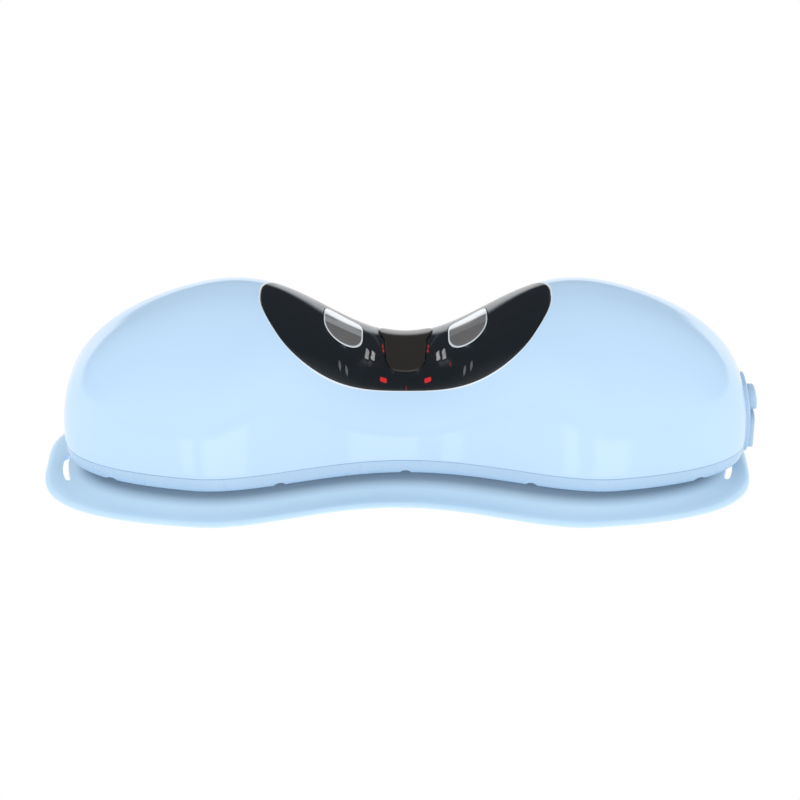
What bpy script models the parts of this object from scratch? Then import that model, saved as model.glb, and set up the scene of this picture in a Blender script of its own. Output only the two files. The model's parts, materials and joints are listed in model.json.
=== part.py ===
"""Eye massager mask, lying face down on its soft skirt.

X runs from temple to temple, -Y is the nose side, +Z is the front of the mask, away from the face.
All sizes are in millimetres and are turned into metres when a mesh is made.
The casing is a two-lobed dome with a saddle over the nose. Its height is one formula, dome(),
so every piece that lies in or under its skin is made from the same surface.
"""
import math
from typing import NamedTuple

import bpy
import bmesh
import numpy as np
from mathutils import Matrix, Vector

MM = 0.001
GAP = 0.3  # air between two pieces that touch on the real object
SEGMENTS = 60  # points round a large outline

# Heights above the table, from the face side up.
SKIRT_RIM = 1.2
FRAME_BOTTOM = 7.0
LEDGE = (11.5, 13.5)
PANEL = (13.8, 15.4)
PARTING = 11.0
EQUATOR = 15.0  # the casing is widest here, and the dome rises from it
TONGUE_TOP = 17.5
CHASSIS = (19.8, 21.4)
BOARD = (24.6, 25.6)
DOME_TOP = 57.8
SADDLE_DIP = 22.7
SADDLE_HALF_WIDTH = 77.5
SADDLE_POWER = 6
DOME_POWER = 2.52
SHELL_WALL = 2.0
TUCK = 0.012  # share by which the casing draws in at its lower edge

# The smoked window over the saddle and what lies under it, as depths below the outer skin.
WINDOW_DEPTH = 1.8
TRAY_RIM_DEPTH = 2.4
TRAY_FLOOR = (5.2, 6.4)
LAMP_DEPTH = (2.5, 3.3)
WINDOW_LOW = 30.2  # height of the window's edge over the nose
WINDOW_RISE = (17.5, 20.4, -15.2)  # its rise at 41 mm out, in even powers of x
WINDOW_HALF = 41.0
KEY_DEPTH = 2.2
KEY_CLEARANCE = 0.3
SIDE_KEY_X = 17.6
SIDE_KEY_Y = 2.0
POWER_KEY_Y = 4.0
KEY_LIFT = 0.15
POWER_KEY_LIFT = 0.5
STEM_RADIUS = 1.3
SWITCH_TOP = 27.2
PRESS_ROOM = 1.0  # air between a key or button at rest and its switch

# The module on the right temple: the button above and the charging port's cover below.
SIDE_BUTTON_Z = 21.4
BEZEL_Z = (7.1, 26.7)
SIDE_BUTTON_OUT = 99.9
PORT_Z = 11.0
COVER_Z = (8.1, 17.3)
COVER_HINGE_Y = 7.0
COVER_OUT = 98.75  # where the cover's outer face starts, at its lower edge

SKIRT_CENTRE = (-2.3, 2.3)
CENTRE_SHIFT = 1.35  # brings the middle of the whole mask, skirt and module included, to X = 0
STRAP_SLOT_LENGTH = 18.5
STRAP_SLOT_WIDTH = 1.9
STRAP_SLOT_X = 94.9
STRAP_SLOT_Y = -5.0

EYE_X, EYE_Y = 47.0, -2.0
BAG = (10.6, 13.5)
FILM = (9.9, 10.3)
PAD_BACK = 9.6
PAD_CREST = 6.6
NOZZLE_X = 27.0
SCREW_INSET = 9.0
SCREW_X = (-58.0, 58.0)
HOSE_RADIUS = 1.1


class Outline(NamedTuple):
    """A kidney outline: two half superellipses, with a smooth notch let into the nose side."""

    half_length: float
    near: float
    far: float
    power: float
    notch: float = 0.0
    notch_half_width: float = 1.0
    far_power: float = 0.0

    def inset(self, distance):
        return self._replace(
            half_length=self.half_length - distance,
            near=self.near - distance,
            far=self.far - distance,
        )

    def notch_at(self, x):
        return self.notch * np.clip(1 - (x / self.notch_half_width) ** 2, 0, None) ** 2

    def near_y(self, x):
        return -self.near * (1 - abs(x / self.half_length) ** self.power) ** (1 / self.power) + self.notch_at(x)

    def far_y(self, x):
        power = self.far_power or self.power
        return self.far * (1 - abs(x / self.half_length) ** power) ** (1 / power)

    def points(self, count=SEGMENTS):
        """The outline as an array of (x, y), anticlockwise, spaced by the ellipse's own angle."""
        turn = np.arange(count) * 2 * np.pi / count
        nose_side = np.sin(turn) < 0
        depth = np.where(nose_side, self.near, self.far)
        power = np.where(nose_side, self.power, self.far_power or self.power)
        angle = np.arctan2(depth * np.sin(turn), self.half_length * np.cos(turn))
        across = abs(np.cos(angle) / self.half_length) ** power
        reach = (across + abs(np.sin(angle) / depth) ** power) ** (-1 / power)
        x = reach * np.cos(angle)
        y = reach * np.sin(angle) + np.where(nose_side, self.notch_at(x), 0)
        return np.stack([x, y], axis=1)


CASE = Outline(97.0, 39.7, 36.5, 2.8, 17.35, 60.0)
SKIRT_RIM_OUTLINE = Outline(100.3, 48.3, 42.3, 3.3, 15.7, 54.5)
SKIRT_NECK = Outline(88.5, 35.5, 32.5, 2.8, 17.35, 60.0)
SIDE_KEY = Outline(5.5, 11.3, 11.5, 2.2, far_power=6.0)
POWER_KEY = Outline(5.7, 15.6, 17.0, 5.0, far_power=6.0)
PAD = Outline(33.0, 23.0, 23.0, 2.3)
AIR_BAG = Outline(28.0, 17.0, 17.0, 2.3)


def gauge(x, y, grow=0.0):
    """How far out (x, y) lies in the case outline: 0 at the middle, 1 on the outline grown by grow."""
    shape = CASE.inset(-grow)
    low, high = np.zeros_like(x), np.full_like(x, 1.5)
    for _ in range(40):
        middle = np.maximum((low + high) / 2, 1e-9)
        across, along = x / middle, y / middle
        notch = np.where(y < 0, shape.notch_at(across), 0)
        depth = np.where(y < 0, shape.near, shape.far)
        side = abs(across / shape.half_length) ** shape.power
        outside = side + abs((along - notch) / depth) ** shape.power > 1
        low, high = np.where(outside, middle, low), np.where(outside, high, middle)
    return (low + high) / 2


def ridge(x, grow=0.0):
    """Height of the dome's top line: two lobes with the saddle between them."""
    dip = np.clip(1 - (x / SADDLE_HALF_WIDTH) ** 2, 0, None) ** SADDLE_POWER
    return DOME_TOP + grow - SADDLE_DIP * dip


def dome(x, y, grow=0.0):
    """Height of the casing's outer skin over (x, y), or of the skin moved outwards by grow."""
    reach = np.clip(gauge(x, y, grow), 0, 1)
    rise = (1 - reach**DOME_POWER) ** (1 / DOME_POWER)
    return EQUATOR + rise * (ridge(x, grow) - EQUATOR)


def window_outline(inset=0.0, count=SEGMENTS):
    """Plan of the window: where the dome has sunk to the window's edge, drawn in by inset.

    Along each ray from the middle, halving finds the point where the dome is as high as the edge curve.
    """
    step = np.arange(count) * 2 * np.pi / count
    turn = np.arctan2(0.55 * np.sin(step), np.cos(step))
    near, far = np.zeros(count), np.full(count, 45.0)
    for _ in range(40):
        reach = (near + far) / 2
        x, y = reach * np.cos(turn), reach * np.sin(turn)
        out = (x / WINDOW_HALF) ** 2
        edge = WINDOW_LOW + sum(rise * out ** (i + 1) for i, rise in enumerate(WINDOW_RISE))
        inside = (dome(x, y) > edge) & (abs(x) < WINDOW_HALF)
        near, far = np.where(inside, reach, near), np.where(inside, far, reach)
    points = np.stack([near * np.cos(turn), near * np.sin(turn)], axis=1)
    along = np.roll(points, -1, axis=0) - np.roll(points, 1, axis=0)
    outwards = np.stack([along[:, 1], -along[:, 0]], axis=1) / np.linalg.norm(along, axis=1)[:, None]
    return points - inset * outwards


def side_x(y, z):
    """X of the casing's right end at (y, z)."""
    low, high = np.full_like(z, 60.0), np.full_like(z, CASE.half_length)
    for _ in range(40):
        middle = (low + high) / 2
        inside = np.where(z > EQUATOR, dome(middle, y) > z, gauge(middle, y) < tuck_scale(z))
        low, high = np.where(inside, middle, low), np.where(inside, high, middle)
    return (low + high) / 2


def tuck_scale(z):
    """How far the casing draws in below its equator, as a share of the outline."""
    drop = np.clip((EQUATOR - z) / (EQUATOR - FRAME_BOTTOM), 0, None)
    return 1 - TUCK * drop**2


# ---------------------------------------------------------------- making objects

def clear_scene():
    for old in list(bpy.data.objects):
        bpy.data.objects.remove(old, do_unlink=True)


def material(name, colour, roughness, metallic=0.0):
    made = bpy.data.materials.get(name)
    if made is None:
        made = bpy.data.materials.new(name)
        made.use_nodes = True
        shader = made.node_tree.nodes["Principled BSDF"]
        shader.inputs["Base Color"].default_value = (*colour, 1)
        shader.inputs["Roughness"].default_value = roughness
        shader.inputs["Metallic"].default_value = metallic
    return made


SKY_GLOSS = ("sky_gloss", (0.53, 0.74, 0.94), 0.12)
SKY_SATIN = ("sky_satin", (0.50, 0.70, 0.90), 0.35)
SILICONE = ("sky_silicone", (0.48, 0.68, 0.90), 0.5)
SMOKE = ("smoked_window", (0.03, 0.03, 0.035), 0.05)
SILVER = ("silver_key", (0.6, 0.6, 0.6), 0.15, 1.0)
BLACK = ("black_plastic", (0.02, 0.02, 0.022), 0.45)
GREY = ("grey_plastic", (0.55, 0.57, 0.6), 0.5)
LINER = ("pad_liner", (0.62, 0.68, 0.74), 0.8)
FOIL = ("heat_film", (0.75, 0.42, 0.12), 0.35)
GREEN = ("board_green", (0.02, 0.16, 0.07), 0.5)
STEEL = ("steel", (0.6, 0.6, 0.62), 0.3, 1.0)
CELL = ("cell_wrap", (0.1, 0.25, 0.55), 0.4)
LAMP = ("red_lamp", (0.8, 0.02, 0.02), 0.3)
CLEAR = ("clear_tube", (0.75, 0.78, 0.8), 0.3)


def add_mesh(name, points, faces, look, origin=(0, 0, 0)):
    """A named object from points in millimetres, with its own origin, normals out and smooth shading."""
    mesh = bpy.data.meshes.new(name)
    place = Vector(origin)
    mesh.from_pydata([(Vector(p) - place) * MM for p in points], [], faces)
    work = bmesh.new()
    work.from_mesh(mesh)
    bmesh.ops.remove_doubles(work, verts=work.verts, dist=1e-6)
    bmesh.ops.recalc_face_normals(work, faces=work.faces)
    work.to_mesh(mesh)
    work.free()
    mesh.shade_smooth()
    mesh.set_sharp_from_angle(angle=math.radians(40))
    made = bpy.data.objects.new(name, mesh)
    made.location = place * MM
    bpy.context.scene.collection.objects.link(made)
    mesh.materials.append(material(*look))
    return made


def loft(name, rings, look, ring_closed=False, origin=(0, 0, 0)):
    """Skins a stack of equal rings. The stack closes on itself, or each end gets a flat or a fanned cap."""
    rings = [np.asarray(ring, float) for ring in rings]
    count = len(rings[0])
    points = [tuple(p) for ring in rings for p in ring]
    faces = []
    pairs = len(rings) if ring_closed else len(rings) - 1
    for level in range(pairs):
        here, there = level * count, (level + 1) % len(rings) * count
        for i in range(count):
            j = (i + 1) % count
            faces.append((here + i, here + j, there + j, there + i))
    if not ring_closed:
        for start, ring in ((0, rings[0]), ((len(rings) - 1) * count, rings[-1])):
            if np.ptp(ring, axis=0).min() < 1e-6:
                faces.append(tuple(range(start, start + count)))
                continue
            points.append(tuple(ring.mean(axis=0)))
            middle = len(points) - 1
            faces += [(start + i, start + (i + 1) % count, middle) for i in range(count)]
    return add_mesh(name, points, faces, look, origin)


def at_height(outline, z):
    return np.column_stack([outline, np.full(len(outline), float(z))])


def plate(name, outline, bottom, top, look, origin=(0, 0, 0)):
    """A flat plate with the given outline."""
    return loft(name, [at_height(outline, bottom), at_height(outline, top)], look, origin=origin)


def patch(name, outline, centre, low, high, look, levels=4, across=None, origin=(0, 0, 0)):
    """A closed piece over an outline in two directions, between the surfaces low(a, b) and high(a, b).

    across turns (a, b, height) into (x, y, z); without it the height is z.
    """
    centre = np.asarray(centre, float)
    turn = across or (lambda a, b, h: np.stack([a, b, h], axis=1))
    shares = np.linspace(0.12, 1, levels)
    rings = []
    for share in shares:
        flat = centre + outline * share
        rings.append(turn(flat[:, 0], flat[:, 1], low(flat[:, 0], flat[:, 1])))
    for share in shares[::-1]:
        flat = centre + outline * share
        rings.append(turn(flat[:, 0], flat[:, 1], high(flat[:, 0], flat[:, 1])))
    return loft(name, rings, look, origin=origin)


def skin_patch(name, outline, centre, depth, height, look, levels=4, origin=(0, 0, 0)):
    """A piece that follows the dome, from depth below its skin to height above it."""
    return patch(
        name,
        outline,
        centre,
        lambda x, y: dome(x, y) - depth,
        lambda x, y: dome(x, y) + height,
        look,
        levels,
        origin=origin,
    )


def sideways(a, b, h):
    """Turns an outline in (y, z) with a height along x into points."""
    return np.stack([h, a, b], axis=1)


def cylinder(name, radius, length, centre, look, axis="Z", sides=20, origin=None):
    turn = (np.arange(sides) + 0.3) * 2 * np.pi / sides
    ring = np.stack([radius * np.cos(turn), radius * np.sin(turn)], axis=1)
    stack = [at_height(ring, -length / 2), at_height(ring, length / 2)]
    order = {"Z": (0, 1, 2), "X": (2, 0, 1), "Y": (1, 2, 0)}[axis]
    stack = [level[:, order] + np.asarray(centre, float) for level in stack]
    return loft(name, stack, look, origin=origin or (0, 0, 0))


def box(name, size, centre, look, bevel=0.0, origin=None):
    half = np.asarray(size, float) / 2
    corners = [(sx, sy) for sx, sy in ((-1, -1), (1, -1), (1, 1), (-1, 1))]
    flat = np.array([(sx * half[0], sy * half[1]) for sx, sy in corners]) + np.asarray(centre[:2], float)
    made = plate(name, flat, centre[2] - half[2], centre[2] + half[2], look, origin=origin or (0, 0, 0))
    if bevel:
        rounding = made.modifiers.new("rounding", "BEVEL")
        rounding.width = bevel * MM
        rounding.segments = 2
        rounding.limit_method = "ANGLE"
        rounding.angle_limit = math.radians(50)
    return made


def combine(target, tool, operation):
    """Cuts tool from target, or joins it on. The tool stays as a hidden helper."""
    change = target.modifiers.new(operation.lower(), "BOOLEAN")
    change.operation = operation
    change.solver = "EXACT"
    change.object = tool
    tool.hide_render = True
    tool.display_type = "WIRE"


def cut(target, tool):
    combine(target, tool, "DIFFERENCE")


def join(target, tool):
    combine(target, tool, "UNION")


def tube(name, route, radius, look):
    """A hose along a smooth curve through the route's points."""
    spans = np.asarray(route, float)
    padded = np.vstack([2 * spans[0] - spans[1], spans, 2 * spans[-1] - spans[-2]])
    points = []
    for i in range(1, len(padded) - 2):
        before, start, end, after = padded[i - 1 : i + 3]
        for t in np.linspace(0, 1, 5)[:-1]:
            pull = 2 * start + (end - before) * t
            ease = (2 * before - 5 * start + 4 * end - after) * t**2
            close = (3 * start - before - 3 * end + after) * t**3
            points.append((pull + ease + close) / 2)
    points.append(spans[-1])
    curve = bpy.data.curves.new(name, "CURVE")
    curve.dimensions = "3D"
    curve.bevel_depth = radius * MM
    curve.bevel_resolution = 1
    curve.use_fill_caps = True
    spline = curve.splines.new("POLY")
    spline.points.add(len(points) - 1)
    for knot, point in zip(spline.points, points):
        knot.co = (*(point * MM), 1)
    made = bpy.data.objects.new(name, curve)
    curve.materials.append(material(*look))
    bpy.context.scene.collection.objects.link(made)
    return made


# ---------------------------------------------------------------- the casing

def screw_places():
    """The four screws that clamp frame, face panel, chassis and shell together, two in each lobe."""
    track = CASE.inset(SCREW_INSET)
    return [(x, float(y(x))) for x in SCREW_X for y in (track.near_y, track.far_y)]


def front_shell():
    """The glossy cover: a thin domed ring between the case outline and the window opening."""
    rim = window_outline(-GAP / 2)
    edge = PARTING + GAP / 2
    skirting = [(z, tuck_scale(z)) for z in (edge, (edge + EQUATOR) / 2)]
    lift = np.sin(np.linspace(0, math.pi / 2, 9))
    spread = (1 - lift**DOME_POWER) ** (1 / DOME_POWER)
    rings = [at_height(CASE.points() * scale, z) for z, scale in skirting]
    for share in spread:
        flat = rim + (CASE.points() - rim) * share
        rings.append(np.column_stack([flat, dome(flat[:, 0], flat[:, 1])]))
    inner_case = CASE.inset(SHELL_WALL).points()
    for share in spread[::-1][::2]:
        flat = rim + (inner_case - rim) * share
        height = dome(flat[:, 0], flat[:, 1], -SHELL_WALL)
        rings.append(np.column_stack([flat, height]))
    rings += [at_height(inner_case * scale, z) for z, scale in skirting[::-1]]
    shell = loft("front_shell", rings, SKY_GLOSS, ring_closed=True)
    for number, (x, y) in enumerate(screw_places()):
        turn = np.arange(8) * math.pi / 4
        around = dome(x + 2.8 * np.cos(turn), y + 2.8 * np.sin(turn))
        top = float(around.min()) - 0.8
        foot = CHASSIS[1] + GAP
        post = cylinder(f"shell_post_{number}", 2.8, top - foot, (x, y, (top + foot) / 2), SKY_GLOSS, sides=12)
        join(shell, post)
        cut(shell, cylinder(f"shell_pilot_{number}", 1.3, 14, (x, y, foot + 1), BLACK, sides=10))
    hole = side_outline(4.9, 3.2)
    cutter = patch("button_opening", hole, (0, SIDE_BUTTON_Z), lambda a, b: 0 * a + 90, lambda a, b: 0 * a + 104,
                   BLACK, 2, sideways)
    cut(shell, cutter)
    cut(shell, port_pocket("shell_port_pocket"))


def port_pocket(name):
    """A cutter for the pocket that the charging port sits in, across the parting line."""
    return box(name, (20, 10.4, 4.2), (93, 0, PORT_Z), BLACK)


def side_outline(half_y, half_z, power=4.0, count=20):
    return Outline(half_y, half_z, half_z, power).points(count)


def rear_frame():
    """The band under the parting line, with a tongue inside the shell and a ledge for the face panel."""
    profile = (
        (0.0, PARTING - GAP / 2),
        (SHELL_WALL + 2 * GAP, PARTING - GAP / 2),
        (SHELL_WALL + 2 * GAP, TONGUE_TOP),
        (3.8, TONGUE_TOP),
        (3.8, LEDGE[1]),
        (12.0, LEDGE[1]),
        (12.0, LEDGE[0]),
        (3.2, LEDGE[0]),
        (3.2, FRAME_BOTTOM),
        (0.7, FRAME_BOTTOM),
        (0.1, FRAME_BOTTOM + 0.8),
        (0.0, FRAME_BOTTOM + 1.8),
    )
    rings = [at_height(CASE.inset(inset).points() * tuck_scale(z), z) for inset, z in profile]
    frame = loft("rear_frame", rings, SKY_SATIN, ring_closed=True)
    for number, (x, y) in enumerate(screw_places()):
        cut(frame, cylinder(f"frame_hole_{number}", 1.4, 6, (x, y, LEDGE[0] + 1), BLACK, sides=12))
    for number, x in enumerate((-82.0, -35.0, 0.0, 35.0, 82.0)):
        y = float(CASE.near_y(x)) + 1
        cut(frame, cylinder(f"clip_notch_{number}", 1.9, 8, (x, y, FRAME_BOTTOM - 1.1), BLACK, "Y", sides=16))
    cut(frame, port_pocket("frame_port_pocket"))


def strap_slot(side):
    """A curved cutter for one strap slot, bowed like the ear's edge."""
    along = np.linspace(-STRAP_SLOT_LENGTH / 2, STRAP_SLOT_LENGTH / 2, 9) + STRAP_SLOT_Y
    middle = side * (STRAP_SLOT_X - along**2 / 100) + SKIRT_CENTRE[0]
    half = STRAP_SLOT_WIDTH / 2
    right = np.stack([middle + half, along], axis=1)
    left = np.stack([middle - half, along], axis=1)[::-1]
    return plate(f"slot_cutter_{'left' if side < 0 else 'right'}", np.vstack([right, left]), -2, 6, BLACK)


def face_skirt():
    """The silicone skirt: a root under the frame's ledge, a shoulder, and a flare out to a thin flat rim."""
    neck = SKIRT_NECK.points() + np.array([-1.0, 0.0])
    root = SKIRT_NECK.inset(1.5).points() + np.array([-1.0, 0.0])
    rim = SKIRT_RIM_OUTLINE.points() + np.array(SKIRT_CENTRE)
    upper = ((0.2, 6.6), (0.28, 5.0), (0.4, 2.8), (0.52, 1.8), (0.7, 1.3), (0.98, SKIRT_RIM), (1.0, 0.7))
    lower = ((0.985, 0.0), (0.5, 0.0), (0.36, 1.4), (0.24, 3.6))
    rings = [at_height(root, LEDGE[0] - GAP), at_height(neck, LEDGE[0] - GAP), at_height(neck, 6.6)]
    rings += [at_height(neck + (rim - neck) * share, z) for share, z in upper + lower]
    rings.append(at_height(root, 5.8))
    skirt = loft("face_skirt", rings, SILICONE, ring_closed=True)
    for side in (-1, 1):
        cut(skirt, strap_slot(side))
    return skirt


# ---------------------------------------------------------------- window, keys and lamps

def key_outlines():
    """Each key's name, outline, place and lift above the window."""
    return (
        ("left_key", SIDE_KEY, (-SIDE_KEY_X, SIDE_KEY_Y), KEY_LIFT, SILVER),
        ("power_key", POWER_KEY, (0.0, POWER_KEY_Y), POWER_KEY_LIFT, SMOKE),
        ("right_key", SIDE_KEY, (SIDE_KEY_X, SIDE_KEY_Y), KEY_LIFT, SILVER),
    )


def bridge_window():
    window = skin_patch("bridge_window", window_outline(GAP / 2), (0, 0), WINDOW_DEPTH, 0, SMOKE, levels=4)
    for name, outline, place, _, _ in key_outlines():
        opening = outline.inset(-KEY_CLEARANCE).points(24) + np.array(place)
        cut(window, plate(f"{name}_opening", opening, 20, 60, BLACK))
    return window


def bridge_tray():
    """The black tray under the window that carries the lamps and lets the key stems through."""
    tray = skin_patch("bridge_tray", window_outline(0.8, 36), (0, 0), TRAY_FLOOR[1], -TRAY_RIM_DEPTH, BLACK, 3)
    hollow = skin_patch("tray_hollow", window_outline(2.0, 36), (0, 0), TRAY_FLOOR[0], 6, BLACK, 3)
    cut(tray, hollow)
    for name, _, place, _, _ in key_outlines():
        cut(tray, cylinder(f"{name}_stem_hole", STEM_RADIUS + 0.5, 30, (*place, 35), BLACK, sides=12))
    for number, (_, x, y) in enumerate(lamp_spots(), 1):
        skin = height_at(x, y)
        top, foot = skin - LAMP_DEPTH[1] - GAP, skin - TRAY_FLOOR[0] - 0.6
        join(tray, cylinder(f"lamp_stand_{number}", 0.7, top - foot, (x, y, (top + foot) / 2), BLACK, sides=10))


def keys():
    """Three keys that press down into the saddle, each with a stem that reaches its switch."""
    for name, outline, place, lift, look in key_outlines():
        key = skin_patch(name, outline.points(24), place, KEY_DEPTH, lift, look, 3, origin=(*place, 30))
        top = height_at(*place) - KEY_DEPTH + 0.8
        foot = SWITCH_TOP + PRESS_ROOM
        stem = cylinder(f"{name}_stem", STEM_RADIUS, top - foot, (*place, (top + foot) / 2), look, sides=12)
        join(key, stem)
        switch_name = name.replace("key", "switch")
        box(switch_name, (4.5, 4.5, SWITCH_TOP - BOARD[1] - GAP), (*place, (SWITCH_TOP + BOARD[1] + GAP) / 2), STEEL)
    box("key_board", (50, 15, BOARD[1] - BOARD[0]), (0, 0, sum(BOARD) / 2), GREEN)


def height_at(x, y):
    return float(dome(np.array([x]), np.array([y]))[0])


def lamp_spots():
    """Shape and place of each red lamp: two pairs beside the power key, two bars and two dots in front of it."""
    dot, bar = Outline(0.42, 0.42, 0.42, 2.0), Outline(1.1, 0.5, 0.5, 2.0)
    spots = [(dot, side * 6.9, y) for side in (-1, 1) for y in (7.0, 2.2)]
    spots += [(bar, side * 6.4, -13.2) for side in (-1, 1)]
    return spots + [(dot, 12.9, -11.0), (dot, 0.0, -14.4)]


def lamps():
    """The red lamps, and the pins that tie the window to the tray."""
    for number, (shape, x, y) in enumerate(lamp_spots(), 1):
        skin_patch(f"lamp_{number}", shape.points(10), (x, y), LAMP_DEPTH[1], -LAMP_DEPTH[0], LAMP, 2)
    for number, (x, y) in enumerate(((-10.3, -1.0), (10.3, -1.0), (-17.6, -15.9), (17.6, -15.9)), 1):
        pin = Outline(1.15, 1.15, 1.15, 2.0).points(14)
        skin_patch(f"window_pin_{number}", pin, (x, y), TRAY_FLOOR[0] - 1.3, -WINDOW_DEPTH - 0.5, STEEL, 2)


# ---------------------------------------------------------------- the face side

def face_panel():
    """The plate behind the air bags, clamped on the frame's ledge."""
    panel = plate("face_panel", CASE.inset(4.3).points(), *PANEL, GREY)
    for number, (x, y) in enumerate(screw_places()):
        cut(panel, cylinder(f"panel_hole_{number}", 1.4, 6, (x, y, PANEL[0] + 1), BLACK, sides=12))
    for number, x in enumerate((-NOZZLE_X, NOZZLE_X)):
        cut(panel, cylinder(f"panel_hose_hole_{number}", 2.4, 6, (x, 0, PANEL[0] + 1), BLACK, sides=16))
    return panel


def eye_pads():
    """For each eye an air bag, a heating film and the padded ring that presses round the eye."""
    for side, word in ((-1, "left"), (1, "right")):
        centre = np.array([side * EYE_X, EYE_Y])
        plate(f"{word}_air_bag", AIR_BAG.points(32) + centre, *BAG, CLEAR)
        plate(f"{word}_heat_film", AIR_BAG.inset(1).points(32) + centre, *FILM, FOIL)
        rim = PAD.points(36)
        shape = ((0.97, PAD_BACK), (1.0, 8.6), (0.93, 7.2), (0.8, PAD_CREST), (0.62, 6.9), (0.46, 8.0), (0.3, 8.4))
        rings = [at_height(rim * share + centre, z) for share, z in shape]
        loft(f"{word}_eye_pad", rings, LINER, origin=(*centre, PAD_BACK))


# ---------------------------------------------------------------- inside the dome

def chassis_plate():
    """The plate that carries the works, with spacers down to the face panel and posts up to the key board."""
    chassis = plate("chassis_plate", CASE.inset(4.6).points(), *CHASSIS, GREY)
    for number, (x, y) in enumerate(screw_places()):
        foot = PANEL[1] + GAP
        length = CHASSIS[0] + 0.8 - foot
        join(chassis, cylinder(f"spacer_{number}", 2.8, length, (x, y, foot + length / 2), GREY, sides=14))
        cut(chassis, cylinder(f"chassis_hole_{number}", 1.4, 16, (x, y, CHASSIS[0]), BLACK, sides=12))
    for number, x in enumerate((-NOZZLE_X, NOZZLE_X)):
        cut(chassis, cylinder(f"chassis_hose_hole_{number}", 2.4, 8, (x, 0, CHASSIS[0]), BLACK, sides=16))
    cut(chassis, box("button_relief", (12, 14, 6), (93, 0, CHASSIS[0]), BLACK))
    for number, x in enumerate((-21.5, 21.5)):
        top = BOARD[0] - GAP
        foot = CHASSIS[1] - 0.8
        join(chassis, cylinder(f"board_post_{number}", 2.0, top - foot, (x, -3, (top + foot) / 2), GREY, sides=14))
    return chassis


def frame_screws():
    """Pan head screws, driven up from the face side."""
    shank_top = CHASSIS[1] + 5.0
    for number, (x, y) in enumerate(screw_places(), 1):
        head_top = LEDGE[0] - GAP
        screw = cylinder(f"frame_screw_{number}", 2.1, 1.4, (x, y, head_top - 0.7), STEEL, sides=16)
        length = shank_top - head_top + 0.5
        join(screw, cylinder(f"shank_{number}", 1.0, length, (x, y, shank_top - length / 2), STEEL, sides=10))


def air_works():
    """Pump, crank, valve and hoses."""
    y, z = 12.0, CHASSIS[1] + GAP + 7.6
    cylinder("pump_motor", 7.4, 22.0, (-49.0, y, z), STEEL, "X", 24)
    head = cylinder("pump_head", 7.4, 12.0, (-31.7, y, z), BLACK, "X", 24)
    cut(head, cylinder("pump_chamber", 5.8, 9.0, (-33.4, y, z), BLACK, "X", 20))
    join(head, cylinder("pump_nozzle", 1.5, 5.0, (-23.7, y, z), BLACK, "X", 12))
    crank = cylinder("pump_crank", 4.4, 2.4, (-33.5, y, z), STEEL, "X", 20, origin=(-33.5, y, z))
    join(crank, cylinder("crank_pin", 0.9, 3.4, (-31.8, y, z - 2.6), STEEL, "X", 10))
    box("air_valve", (10, 7, 5), (-6.0, 12.0, CHASSIS[1] + GAP + 2.5), BLACK, 0.6)
    down = (19.5, 16.5, BAG[1] + GAP)
    tube("pump_hose", [(-20.8, y, z), (-17.8, y, z - 0.8), (-14.8, y, z - 4.0), (-11.5, y, z - 4.8)], HOSE_RADIUS, CLEAR)
    for side, word, start in ((-1, "left", -8.6), (1, "right", -3.9)):
        route = [(start, 7.6, 22.9), (start + side * 0.3, 5.4, 22.9), (side * 15.0, 4.0, 22.9)]
        route += [(side * 23.0, 2.6, 22.9), (side * NOZZLE_X, 0.4, 21.6)]
        route += [(side * NOZZLE_X, 0.0, height) for height in down]
        tube(f"{word}_air_hose", route, HOSE_RADIUS, CLEAR)


def electrics():
    """Battery, main board, speakers and the two shaking motors with their eccentric weights."""
    floor = CHASSIS[1] + GAP
    box("battery", (46, 20, 9), (54, -13, floor + 4.5), CELL, 1.2)
    box("main_board", (44, 20, 1.2), (-53, -13, floor + 0.6), GREEN)
    for side, word in ((-1, "left"), (1, "right")):
        cylinder(f"{word}_speaker", 7.0, 4.5, (side * 68, 16, floor + 2.25), BLACK, sides=24)
        axis = (side * 79.5, 0.0, floor + 4.4)
        cylinder(f"{word}_shaker_motor", 3.5, 11.0, (axis[0], 8.0, axis[2]), STEEL, "Y", 18)
        weight = cylinder(f"{word}_shaker_weight", 4.0, 4.0, axis, STEEL, "Y", 20, origin=axis)
        cut(weight, box(f"{word}_weight_flat", (10, 6, 5), (axis[0], 0, axis[2] + 3.3), BLACK))


# ---------------------------------------------------------------- the module on the right temple

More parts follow.
